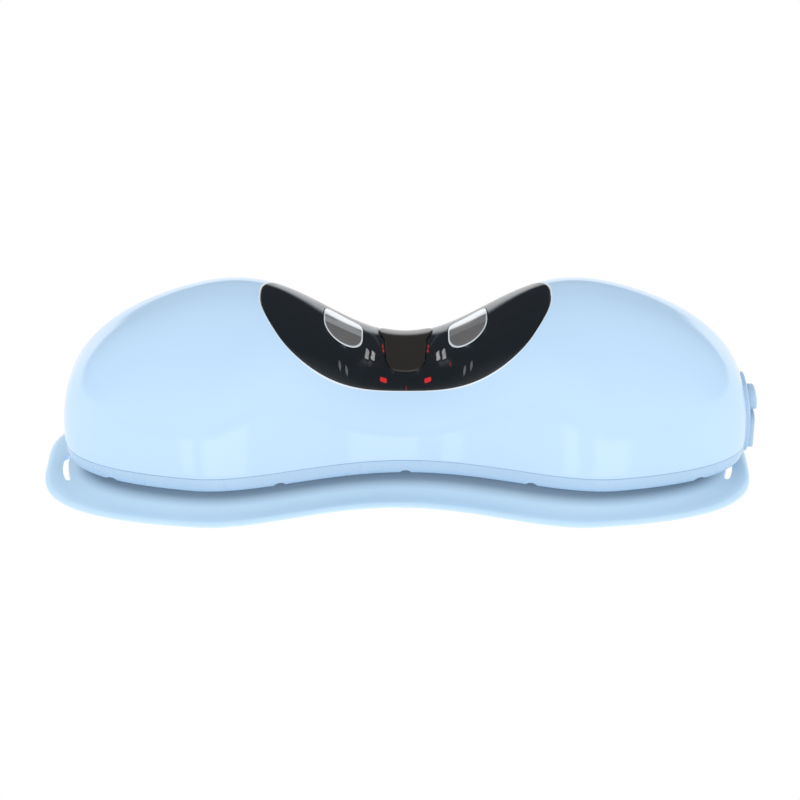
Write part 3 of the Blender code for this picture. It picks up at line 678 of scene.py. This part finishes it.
def prong_pair(number, x, y, half_width, half_length, apart):
    """Two upright slivers side by side, a painted highlight for each side of a post. They slant in
    plan: x moves by 0.35 of y.
    """
    glint_slivers = []
    for side in (-1, 1):
        glint_sliver = Kidney(half_width, half_length, half_length, 2.5)
        centre = np.array([x + side * apart / 2, y])
        rings = [on_skin(glint_sliver.points(28) * share + centre, PRONG_FOOT) for share in (0.1, 1.0)]
        rings += [on_skin(glint_sliver.points(28) * share + centre, PRONG_TOP) for share in (1.0, 0.1)]
        for ring in rings:
            ring[:, 0] += math.copysign(PRONG_SLANT, x) * (ring[:, 1] - y)
        glint_slivers.append(skin_rings(f"window_pin_{number}_blade", rings, "mask_body"))
    bpy.ops.object.select_all(action="DESELECT")
    for glint_sliver in glint_slivers:
        glint_sliver.select_set(True)
    bpy.context.view_layer.objects.active = glint_slivers[0]
    bpy.ops.object.join()
    pair = glint_slivers[0]
    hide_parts(f"window_pin_{number}")
    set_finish(pair, "steel")
    return pair


# Each pair of prongs is a painted highlight: two slivers where a round post would mirror light.
upper_prongs = [prong_pair(n, side * 10.3, -2.2, 0.24, 1.1, 1.7) for n, side in ((1, -1), (2, 1))]
lower_prongs = [prong_pair(n, side * 17.6, -15.9, 0.16, 0.8, 1.9) for n, side in ((3, -1), (4, 1))]
print("lamps:", len(lamp_places), "prong pairs:", len(upper_prongs + lower_prongs))

# %% [markdown]
# ## The module on the temple
#
# One end of the mask carries a raised bezel with a push button and, below it, a hinged cover over the
# charging port. These pieces are islands too, but they grow sideways from the end of the casing. A
# second helper finds the casing's end at any (y, z) by halving and builds the rings along X.


# %% Islands on the casing's end
def end_x(y, z):
    """X of the casing's right end at (y, z): where the dome reaches z, or the tucked outline below."""
    low, high = np.full_like(z, 60.0), np.full_like(z, casing.half_length)
    for _ in range(HALVINGS):
        x = (low + high) / 2
        inside = np.where(z > EQUATOR, dome(x, y) > z, gauge(x, y) < tuck(z))
        low, high = np.where(inside, x, low), np.where(inside, high, x)
    return (low + high) / 2


def end_island(name, plan, centre, inner, outer, radius, body, count=160, levels=14, **more):
    """Like island(), with heights along X. inner and outer give X from arrays of y and z."""

    def lay(flat, height):
        """An outline in (y, z) laid at the X that height gives."""
        y, z = flat[:, 0] + centre[0], flat[:, 1] + centre[1]
        return np.stack([height(y, z), y, z], axis=1)

    rings = [lay(plan.points(count) * share, inner) for share in np.linspace(0.05, 1, 6)]
    for angle in np.linspace(0, 1, 7) * math.pi / 2:
        ring = plan.grown(-radius * (1 - math.cos(angle))).points(count)
        ring = lay(ring, outer)
        ring[:, 0] -= radius * (1 - math.sin(angle))
        rings.append(ring)
    top = plan.grown(-radius).points(count)
    rings += [lay(top * share, outer) for share in np.linspace(1, 0.03, levels)[1:]]
    return skin_rings(name, rings, body, **more)


def rounded(half_y, half_z, power=4.0):
    """A rectangle with rounded corners, squarer as the power rises."""
    return Kidney(half_y, half_z, half_z, power)


# %% [markdown]
# ## Bezel, button and port cover
#
# The bezel stands 0.95 mm proud of the casing and is sunk 0.3 mm into it, so that no dark line shows
# round its foot. It has an opening for the button and one for the cover. The cover's height and how far
# the button stands out are read from the mechanical model, because both of them move.

# %% The three pieces and their openings
BUTTON_Z, BEZEL_Z = 21.4, 16.9
BEZEL_SUNK, BEZEL_PROUD, BEZEL_RADIUS = 0.3, 0.95, 0.3
PORT_Z = 11.0
cover_low, cover_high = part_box("port_cover")
cover_z = (in_millimetres(cover_low)[2] + in_millimetres(cover_high)[2]) / 2
button_out = in_millimetres(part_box("side_button")[1])[0]

bezel = end_island("side_bezel_trim", rounded(9.4, 9.8, 5.0), (0, BEZEL_Z),
                   lambda y, z: end_x(y, z) - BEZEL_SUNK, lambda y, z: end_x(y, z) + BEZEL_PROUD,
                   BEZEL_RADIUS, "mask_body", replaced=["side_bezel"])
cut_away(bezel, prism(rounded(4.8, 3.1).points(80) + [0, BUTTON_Z], 90, 104, "X"),
         prism(rounded(7.6, 4.85, 9.0).points(120) + [0.2, cover_z], 90, 104, "X"))
end_island("side_button_cap", rounded(4.5, 2.8), (0, BUTTON_Z), lambda y, z: 0 * y + 91.6,
           lambda y, z: button_out - 0.02 * y**2 - 0.05 * (z - BUTTON_Z + 1.2) ** 2, 0.4, "side_button",
           replaced=["side_button"])
end_island("port_cover_flap", rounded(7.1, 4.6, 8.0), (0.1, cover_z), lambda y, z: end_x(y, z) + 0.45,
           lambda y, z: 98.39 + 0.045 * z - 0.004 * y**2, 0.3, "port_cover", replaced=["port_cover"])
port_hole = rounded(5.2, 2.1, 8.0).points(60) + [0, PORT_Z]
cut_away(front_shell, prism(rounded(4.9, 3.2).points(60) + [0, BUTTON_Z], 90, 104, "X"),
         prism(port_hole, 83, 104, "X"))
cut_away(rear_frame, prism(port_hole, 83, 104, "X"))
print("button reaches x, mm:", round(float(button_out), 2))

# %% [markdown]
# ## The eye pads
#
# On the face side each eye has a soft ring that the air bag pushes forwards. It is foam under a knitted
# cover with a piped seam round it. A cloth simulation would puff it up, but the pad is only 3 mm
# thick, thinner than the mesh such a simulation needs, so the crown is a formula: a hollow for the
# eyelid, a rounded crest crossed by fourteen sewn channels, and a tuck where the cover is sewn down.

# %% Padded rings and their piping
pad_plan = Kidney(33.0, 23.0, 23.0, 2.3)
pad_profile = [
    (0.02, 9.6), (0.6, 9.6), (0.95, 9.6), (0.975, 9.45), (0.985, 9.2), (1.0, 8.7), (0.995, 8.2),
    (0.965, 7.65), (0.92, 7.2), (0.86, 6.85), (0.8, 6.65), (0.74, 6.6), (0.68, 6.72), (0.62, 7.0),
    (0.57, 7.4), (0.535, 7.85), (0.515, 8.2), (0.495, 8.3), (0.46, 8.15), (0.4, 8.05), (0.3, 8.1),
    (0.18, 8.25), (0.02, 8.3),
]
PAD_AROUND = 360
turn = np.arange(PAD_AROUND) * 2 * np.pi / PAD_AROUND


def pad_rings(centre):
    """The profile carried round the pad, a share of the plan and a height for each ring.

    The rim is puckered by 0.0035 sin(28 turn) of its plan. The crest, at a share of 0.73, sinks by
    0.45 exp(-(sin(7 turn) / 0.22) ** 2) mm, which makes the fourteen channels.
    """
    pucker = 1 + 0.0035 * np.sin(28 * turn)[:, None]
    channel = 0.45 * np.exp(-((np.sin(7 * turn) / 0.22) ** 2))
    plan = pad_plan.points(PAD_AROUND)
    rings = []
    for share, z in pad_profile:
        ring = level(plan * share * np.where(share > 0.6, pucker, 1) + centre, z)
        ring[:, 2] += channel * np.clip(1 - ((share - 0.73) / 0.2) ** 2, 0, 1) * (share > 0.5)
        rings.append(ring)
    return rings


for side, word in ((-1, "left"), (1, "right")):
    rings = pad_rings(np.array([side * 47.0, -2.0]))
    pad = skin_rings(f"{word}_eye_pad_cover", rings, "mask_body", replaced=[f"{word}_eye_pad"],
                     sharp=80)

# %% [markdown]
# ## Finishes: shared node groups
#
# Two effects are needed in more than one material, or are long enough to keep apart: the unevenness of
# moulded surfaces and the knit of the pads' cover. Each is a node group, built once, with its amounts
# as inputs. A group could also be made by hand in the shader editor; small helper functions keep the
# wiring readable here.


# %% Building a node group
def new_group(name, inputs, outputs):
    """An empty shader group. inputs is {name: (kind, value)} and outputs is {name: kind}."""
    tree = bpy.data.node_groups.new(name, "ShaderNodeTree")
    for label, (kind, value) in inputs.items():
        socket = tree.interface.new_socket(name=label, in_out="INPUT", socket_type=f"NodeSocket{kind}")
        socket.default_value = value
    for label, kind in outputs.items():
        tree.interface.new_socket(name=label, in_out="OUTPUT", socket_type=f"NodeSocket{kind}")
    return tree, tree.nodes.new("NodeGroupInput"), tree.nodes.new("NodeGroupOutput")


def node(tree, kind, values=(), **settings):
    """A node with its settings, and its unlinked inputs set by {socket: value}."""
    made = tree.nodes.new(f"ShaderNode{kind}")
    for key, value in settings.items():
        setattr(made, key, value)
    for key, value in dict(values).items():
        made.inputs[key].default_value = value
    return made


def join(tree, source, target):
    """A link from an output socket to an input socket."""
    tree.links.new(source, target)


def noise(tree, place, scale, detail=2.0):
    """Noise on object coordinates, scale being lumps per metre."""
    made = node(tree, "TexNoise", {"Scale": scale, "Detail": detail})
    join(tree, place, made.inputs["Vector"])
    return made.outputs["Fac"]


def spread(tree, source, low, high):
    """Maps 0.3..0.7, where noise mostly lies, to low..high."""
    made = node(tree, "MapRange", {"From Min": 0.3, "From Max": 0.7, "To Min": low, "To Max": high})
    join(tree, source, made.inputs["Value"])
    return made


# %% [markdown]
# ## Moulded surfaces
#
# Moulded plastic is never perfectly even. Its gloss changes a little from place to place, its surface
# has a faint orange peel, and its colour drifts by a per cent or two. The group draws all three from
# noise, and then reads the two values stored on the points: shade is painted shade that darkens a
# recess, and edge mixes in a paler colour as a painted highlight. A piece without those values reads
# them as nought and keeps its plain colour.


# %% The moulded group
def moulding_group():
    """Colour is the given colour times (1 + drift * cloud) * (1 - 0.6 * shade), the painted shade,
    mixed to the highlight colour by edge, the painted highlight. Roughness is the given one times 0.85
    to 1.2.
    Fine noise lifts the normal."""
    tree, given, result = new_group(
        "moulded surface",
        {"Colour": ("Color", (0.5, 0.5, 0.5, 1)), "Edge Colour": ("Color", (0.8, 0.88, 0.95, 1)),
         "Roughness": ("Float", 0.3), "Drift": ("Float", 0.03),
         "Peel Size": ("Float", 900.0), "Peel Depth": ("Float", 0.05)},
        {"Colour": "Color", "Roughness": "Float", "Normal": "Vector"},
    )
    place = node(tree, "TexCoord").outputs["Object"]
    cloud = spread(tree, noise(tree, place, 28.0, 3.0), -1.0, 1.0).outputs["Result"]
    drift = node(tree, "Math", {1: 0.0, 2: 1.0}, operation="MULTIPLY_ADD")
    join(tree, cloud, drift.inputs[0])
    join(tree, given.outputs["Drift"], drift.inputs[1])
    shade = node(tree, "Math", {1: -0.6, 2: 1.0}, operation="MULTIPLY_ADD")
    join(tree, node(tree, "Attribute", attribute_name="shade").outputs["Fac"], shade.inputs[0])
    level_of = node(tree, "Math", operation="MULTIPLY")
    join(tree, drift.outputs[0], level_of.inputs[0])
    join(tree, shade.outputs[0], level_of.inputs[1])
    tint = node(tree, "VectorMath", operation="SCALE")
    join(tree, given.outputs["Colour"], tint.inputs[0])
    join(tree, level_of.outputs[0], tint.inputs["Scale"])
    # Painted highlight: edge mixes the colour towards the paler highlight colour.
    edge = node(tree, "Attribute", attribute_name="edge")
    painted_highlight = node(tree, "Mix", data_type="RGBA")
    join(tree, edge.outputs["Fac"], painted_highlight.inputs["Factor"])
    join(tree, tint.outputs[0], painted_highlight.inputs[6])
    join(tree, given.outputs["Edge Colour"], painted_highlight.inputs[7])
    join(tree, painted_highlight.outputs[2], result.inputs["Colour"])
    smear = spread(tree, noise(tree, place, 160.0, 4.0), 0.85, 1.2).outputs["Result"]
    rough = node(tree, "Math", operation="MULTIPLY")
    join(tree, given.outputs["Roughness"], rough.inputs[0])
    join(tree, smear, rough.inputs[1])
    join(tree, rough.outputs[0], result.inputs["Roughness"])
    peel = node(tree, "TexNoise", {"Detail": 2.0})
    join(tree, place, peel.inputs["Vector"])
    join(tree, given.outputs["Peel Size"], peel.inputs["Scale"])
    bump = node(tree, "Bump", {"Distance": 0.0002})
    join(tree, given.outputs["Peel Depth"], bump.inputs["Strength"])
    join(tree, peel.outputs["Fac"], bump.inputs["Height"])
    join(tree, bump.outputs["Normal"], result.inputs["Normal"])
    return tree


# %% [markdown]
# ## The knit
#
# The pads' cover is a fine knit. Two sets of bands, one along X and one along Y, are multiplied, which
# leaves rows of small bumps like loops. Woven threads could be modelled, but not at this fine scale.


# %% The knit group
def knit_group():
    """Height is the square root of the two waves' product. It mixes gap to thread and lifts the
    normal. Roughness is noise between 0.7 and 0.9."""
    tree, given, result = new_group(
        "fine knit",
        {"Thread": ("Color", (0.5, 0.5, 0.5, 1)), "Gap": ("Color", (0.2, 0.2, 0.2, 1)),
         "Pitch": ("Float", 1400.0)},
        {"Colour": "Color", "Roughness": "Float", "Normal": "Vector"},
    )
    place = node(tree, "TexCoord").outputs["Object"]
    waves = []
    for direction in ("X", "Y"):
        wave = node(tree, "TexWave", {"Distortion": 0.6, "Detail": 1.0, "Detail Scale": 2.0},
                    bands_direction=direction)
        join(tree, place, wave.inputs["Vector"])
        join(tree, given.outputs["Pitch"], wave.inputs["Scale"])
        waves.append(wave.outputs["Fac"])
    cloth = node(tree, "Math", operation="MULTIPLY")
    join(tree, waves[0], cloth.inputs[0])
    join(tree, waves[1], cloth.inputs[1])
    root_height = node(tree, "Math", {1: 0.5}, operation="POWER")
    join(tree, cloth.outputs[0], root_height.inputs[0])
    mix = node(tree, "Mix", data_type="RGBA")
    join(tree, root_height.outputs[0], mix.inputs["Factor"])
    join(tree, given.outputs["Gap"], mix.inputs[6])
    join(tree, given.outputs["Thread"], mix.inputs[7])
    join(tree, mix.outputs[2], result.inputs["Colour"])
    rough = spread(tree, noise(tree, place, 300.0), 0.7, 0.9)
    join(tree, rough.outputs["Result"], result.inputs["Roughness"])
    bump = node(tree, "Bump", {"Strength": 0.5, "Distance": 0.00025})
    join(tree, root_height.outputs[0], bump.inputs["Height"])
    join(tree, bump.outputs["Normal"], result.inputs["Normal"])
    return tree


moulding = moulding_group()
knit = knit_group()
print("groups:", moulding.name, "and", knit.name)

# %% [markdown]
# ## Finishes: the materials
#
# Each material is one Principled shader. What is even all over, such as its coat or its specular
# level, is set on the shader itself, and what changes over the surface comes from a group. The blue
# of the casing is a glossy opaque plastic; the skirt has the same blue in matte silicone with a
# little light passing into it; the window is smoked and clear, so the red lamps glow through it.


# %% A material from a group
def finish(name, group, given, **shader_values):
    """A Principled material whose colour, roughness and normal come from a group."""
    material = bpy.data.materials.new(name)
    material.use_nodes = True
    tree = material.node_tree
    shader = tree.nodes["Principled BSDF"]
    for key, value in shader_values.items():
        shader.inputs[key.replace("_", " ")].default_value = value
    source = tree.nodes.new("ShaderNodeGroup")
    source.node_tree = group
    for key, value in given.items():
        source.inputs[key].default_value = value
    join(tree, source.outputs["Colour"], shader.inputs["Base Color"])
    join(tree, source.outputs["Roughness"], shader.inputs["Roughness"])
    join(tree, source.outputs["Normal"], shader.inputs["Normal"])
    return material


def moulded(name, colour, roughness, drift=0.02, peel=(900.0, 0.04), **shader_values):
    """A material of the moulded group. peel is the lumps per metre and the strength of the bump."""
    given = {"Colour": (*colour, 1), "Roughness": roughness, "Drift": drift,
             "Peel Size": peel[0], "Peel Depth": peel[1]}
    return finish(name, moulding, given, **shader_values)


# %% [markdown]
# ## The outer finishes
#
# The shell, frame and skirt are three tones of one sky blue, and each takes light in its own way: a
# sharp gloss, a satin, and a matte silicone that lets light in by 2 to 4 mm. The silver keys have a
# clear coat with a high index, which mirrors the surroundings more strongly than bare plastic.

# %% Blue, smoke and silver
shell_blue = moulded("sky gloss", (0.515, 0.71, 0.925), 0.07, 0.012, (500.0, 0.02), IOR=1.5)
frame_blue = moulded("sky satin", (0.425, 0.605, 0.80), 0.3, 0.012, (1500.0, 0.05))
skirt_blue = moulded("sky silicone", (0.57, 0.765, 0.965), 0.5, 0.015, (2500.0, 0.06),
                     Subsurface_Weight=0.15, Subsurface_Radius=(0.002, 0.003, 0.004),
                     Subsurface_Scale=1.0)
smoke = moulded("smoked window", (0.12, 0.155, 0.195), 0.03, 0.01, (400.0, 0.0),
                Transmission_Weight=0.9, IOR=1.45, Specular_IOR_Level=0.5)
smoke_key = moulded("brown smoked key", (0.026, 0.024, 0.022), 0.06, 0.02, (500.0, 0.0),
                    Specular_IOR_Level=0.5)
silver = moulded("silver key", (0.17, 0.17, 0.175), 0.12, 0.02, (700.0, 0.0),
                 Coat_Weight=1.0, Coat_IOR=1.7)
print("outer finishes:", [look.name for look in (shell_blue, frame_blue, skirt_blue, smoke, silver)])

# %% [markdown]
# ## The inner finishes and the lamps
#
# The pieces inside are seen only through the port, the window or from the face side, but each still
# has a finish that suits its kind. The lamps give off red light. The prongs give off a little pale
# light as well, a painted highlight for what they would mirror, because the smoked window would
# otherwise swallow it; the upper pair is painted brighter than the lower.

# %% Inner plastics, metal, board, cloth and lamps
matte_black = moulded("matte black", (0.012, 0.012, 0.014), 0.5, 0.1, (1500.0, 0.1))
grey = moulded("grey moulding", (0.42, 0.45, 0.48), 0.45, 0.03, (1600.0, 0.1))
steel = moulded("bright steel", (0.55, 0.55, 0.56), 0.28, 0.04, (2500.0, 0.05), Metallic=1.0)
board = moulded("board green", (0.01, 0.12, 0.05), 0.4, 0.08, (1800.0, 0.05))
foil = moulded("heat film", (0.62, 0.30, 0.08), 0.35, 0.05, (800.0, 0.1))
wrap = moulded("cell wrap", (0.06, 0.16, 0.42), 0.35, 0.04, (900.0, 0.04))
clear = moulded("clear rubber", (0.62, 0.66, 0.70), 0.3, 0.03, (900.0, 0.05))
cover_knit = finish("pad knit", knit, {"Thread": (0.50, 0.60, 0.70, 1), "Gap": (0.30, 0.40, 0.52, 1),
                                       "Pitch": 1100.0}, Sheen_Weight=0.3)
PRONG_GLOW = (1.0, 0.77, 0.62, 1)
lamp_dim = moulded("dim red lamp", (0.5, 0.01, 0.01), 0.3, 0.05,
                   Emission_Color=(1.0, 0.02, 0.02, 1), Emission_Strength=1.6)
lamp_red = moulded("red lamp", (0.8, 0.01, 0.01), 0.3, 0.05,
                   Emission_Color=(1.0, 0.02, 0.015, 1), Emission_Strength=7.0)
# Painted highlight: the prongs glow, the upper pair brighter than the lower, shaded pair.
prong_glow_bright = moulded("polished prong", (0.8, 0.8, 0.8), 0.2, 0.03,
                      Emission_Color=PRONG_GLOW, Emission_Strength=3.6)
prong_glow_dim = moulded("shaded prong", (0.6, 0.6, 0.6), 0.2, 0.03,
                     Emission_Color=PRONG_GLOW, Emission_Strength=1.1)
print("glowing finishes:", [look.name for look in (lamp_red, lamp_dim, prong_glow_bright, prong_glow_dim)])

# %% [markdown]
# ## Dressing the pieces
#
# The mechanical model's record names a material slot for each piece. Every visible piece, new or
# carried over, takes its finish from that slot. The brown key, the two dim lamps and the prongs share a
# slot with pieces that look different, so they are dressed by name afterwards.

# %% A finish for each slot
by_slot = {
    "sky_gloss": shell_blue, "sky_satin": frame_blue, "sky_silicone": skirt_blue,
    "smoked_window": smoke, "silver_key": silver, "black_plastic": matte_black,
    "grey_plastic": grey, "steel": steel, "board_green": board, "heat_film": foil,
    "cell_wrap": wrap, "clear_tube": clear, "pad_liner": cover_knit, "red_lamp": lamp_red,
}
DIM_LAMPS = (7, 8)


def wear(piece, material):
    """Gives a piece one material and no other."""
    piece.data.materials.clear()
    piece.data.materials.append(material)


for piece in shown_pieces():
    wear(piece, by_slot[piece["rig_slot"] if "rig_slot" in piece else slot_of[piece.name]])
wear(bpy.data.objects["power_key_cap"], smoke_key)
for number in DIM_LAMPS:
    wear(bpy.data.objects[f"lamp_{number}_lens"], lamp_dim)
for pair, look in ((upper_prongs, prong_glow_bright), (lower_prongs, prong_glow_dim)):
    for prong in pair:
        wear(prong, look)

# %% [markdown]
# ## The stand and the light
#
# The mask is shown on plain white with no visible ground. Lamps alone would leave hard spots on the
# glossy shell, so all the light comes from white surroundings, and the floor gives off as much light
# as they do. What mirrors in the gloss is a second, drawn room: white near the horizon, which gives
# each silhouette a pale rim, dark overhead, which deepens the window, and two pale panes low in
# front with a darker band over them, which show faintly on the walls.


# %% The room that mirrors in the gloss
SOFT_LIGHT = 1.17
OVERHEAD = 0.88
bpy.context.scene.view_settings.view_transform = "Standard"


def step_up(tree, value, low, high, out_low=0.0, out_high=1.0):
    """Maps value from low..high to out_low..out_high with smooth ends."""
    ends = {"From Min": low, "From Max": high, "To Min": out_low, "To Max": out_high}
    made = node(tree, "MapRange", ends, interpolation_type="SMOOTHSTEP")
    join(tree, value, made.inputs["Value"])
    return made.outputs["Result"]


def combine(tree, operation, first, second):
    """One Math node. Either input may be a socket or a plain number."""
    made = node(tree, "Math", operation=operation)
    for socket, source in zip(made.inputs, (first, second)):
        if isinstance(source, float):
            socket.default_value = source
        else:
            join(tree, source, socket)
    return made.outputs[0]


def between_edges(tree, value, low, high, soft):
    """1 between low and high, 0 outside, blurred by soft at both edges."""
    rise = step_up(tree, value, low - soft, low + soft)
    fall = step_up(tree, value, high - soft, high + soft, 1.0, 0.0)
    return combine(tree, "MULTIPLY", rise, fall)


def directions(tree):
    """x, y and z of the direction looked in."""
    parts = tree.nodes.new("ShaderNodeSeparateXYZ")
    join(tree, tree.nodes.new("ShaderNodeTexCoord").outputs["Generated"], parts.inputs[0])
    return parts.outputs[0], parts.outputs[1], parts.outputs[2]


# %% [markdown]
# ## Drawing the room
#
# The room is arithmetic on the direction looked in. Behind, towards the brow side, the white ends just
# over the horizon. Ahead, towards the nose side, it fades slowly up to the zenith. The panes and the
# band are measured as slopes: how far aside or up a ray goes for each step forwards.


# %% The surroundings
def drawn_room(tree, aim_x, aim_y, aim_z):
    """The brightness that a mirror ray finds: the sky, plus panes less 0.3 of a band in front."""
    front = combine(tree, "MAXIMUM", combine(tree, "MULTIPLY", aim_y, -1.0), 0.05)
    side_slope = combine(tree, "DIVIDE", aim_x, front)
    rise_slope = combine(tree, "DIVIDE", aim_z, front)
    ahead = step_up(tree, aim_y, -0.6, 0.1, 1.0, 0.0)
    sky = node(tree, "Mix", data_type="FLOAT")
    join(tree, ahead, sky.inputs[0])
    join(tree, step_up(tree, aim_z, 0.05, 0.16, 1.0, 0.03), sky.inputs[2])
    join(tree, step_up(tree, aim_z, -0.2, 0.9, 1.0, 0.2), sky.inputs[3])
    panes = combine(tree, "ADD", between_edges(tree, side_slope, -0.56, -0.37, 0.03),
                    between_edges(tree, side_slope, -0.12, 0.56, 0.03))
    panes = combine(tree, "MULTIPLY", panes, between_edges(tree, rise_slope, -0.6, -0.27, 0.02))
    band = combine(tree, "MULTIPLY", between_edges(tree, rise_slope, -0.26, -0.14, 0.03), 0.3)
    low_front = combine(tree, "SUBTRACT", panes, band)
    return combine(tree, "ADD", sky.outputs[0], combine(tree, "MULTIPLY", low_front, ahead))


def white_room():
    """Plain white to the camera and to soft light, the drawn room to mirror rays."""
    world = bpy.data.worlds.new("white room")
    bpy.context.scene.world = world
    world.use_nodes = True
    tree = world.node_tree
    aim_x, aim_y, aim_z = directions(tree)
    room = drawn_room(tree, aim_x, aim_y, aim_z)
    path = tree.nodes.new("ShaderNodeLightPath")
    soft = node(tree, "Mix", data_type="FLOAT")
    join(tree, path.outputs["Is Camera Ray"], soft.inputs[0])
    join(tree, step_up(tree, aim_z, 0.2, 1.0, SOFT_LIGHT, OVERHEAD * SOFT_LIGHT), soft.inputs[2])
    soft.inputs[3].default_value = 1.0
    mix = node(tree, "Mix", data_type="FLOAT")
    join(tree, path.outputs["Is Glossy Ray"], mix.inputs[0])
    join(tree, soft.outputs[0], mix.inputs[2])
    join(tree, room, mix.inputs[3])
    join(tree, mix.outputs[0], tree.nodes["Background"].inputs["Strength"])
    tree.nodes["Background"].inputs["Color"].default_value = (1, 1, 1, 1)
    return world


world = white_room()
print("room nodes:", len(world.node_tree.nodes))


# %% [markdown]
# ## The floor
#
# The floor is one large square just under the skirt. A plain white surface would take a shadow and
# show its own horizon, so this one gives off light: exactly white to the camera, and the strength of
# the surroundings to everything else. Mirror rays pass through it into the drawn room.


# %% The floor and its material
FLOOR_HALF, FLOOR_Z = 4.0, -0.0006


def sweep_material():
    """Gives off white light, and lets mirror rays pass."""
    material = bpy.data.materials.new("white sweep")
    material.use_nodes = True
    tree = material.node_tree
    tree.nodes.clear()
    path = tree.nodes.new("ShaderNodeLightPath")
    light = node(tree, "Emission", {"Color": (1, 1, 1, 1)})
    strength = step_up(tree, path.outputs["Is Camera Ray"], 0.0, 1.0, SOFT_LIGHT, 1.0)
    join(tree, strength, light.inputs["Strength"])
    passing = tree.nodes.new("ShaderNodeBsdfTransparent")
    mix = tree.nodes.new("ShaderNodeMixShader")
    join(tree, path.outputs["Is Glossy Ray"], mix.inputs[0])
    join(tree, light.outputs[0], mix.inputs[1])
    join(tree, passing.outputs[0], mix.inputs[2])
    join(tree, mix.outputs[0], tree.nodes.new("ShaderNodeOutputMaterial").inputs["Surface"])
    return material


floor_mesh = bpy.data.meshes.new("floor")
corners = [(x * FLOOR_HALF, y * FLOOR_HALF, FLOOR_Z) for x, y in ((-1, -1), (1, -1), (1, 1), (-1, 1))]
floor_mesh.from_pydata(corners, [], [(0, 1, 2, 3)])
floor = bpy.data.objects.new("floor", floor_mesh)
floor_mesh.materials.append(sweep_material())
bpy.context.scene.collection.objects.link(floor)
print("floor reaches, m:", FLOOR_HALF)
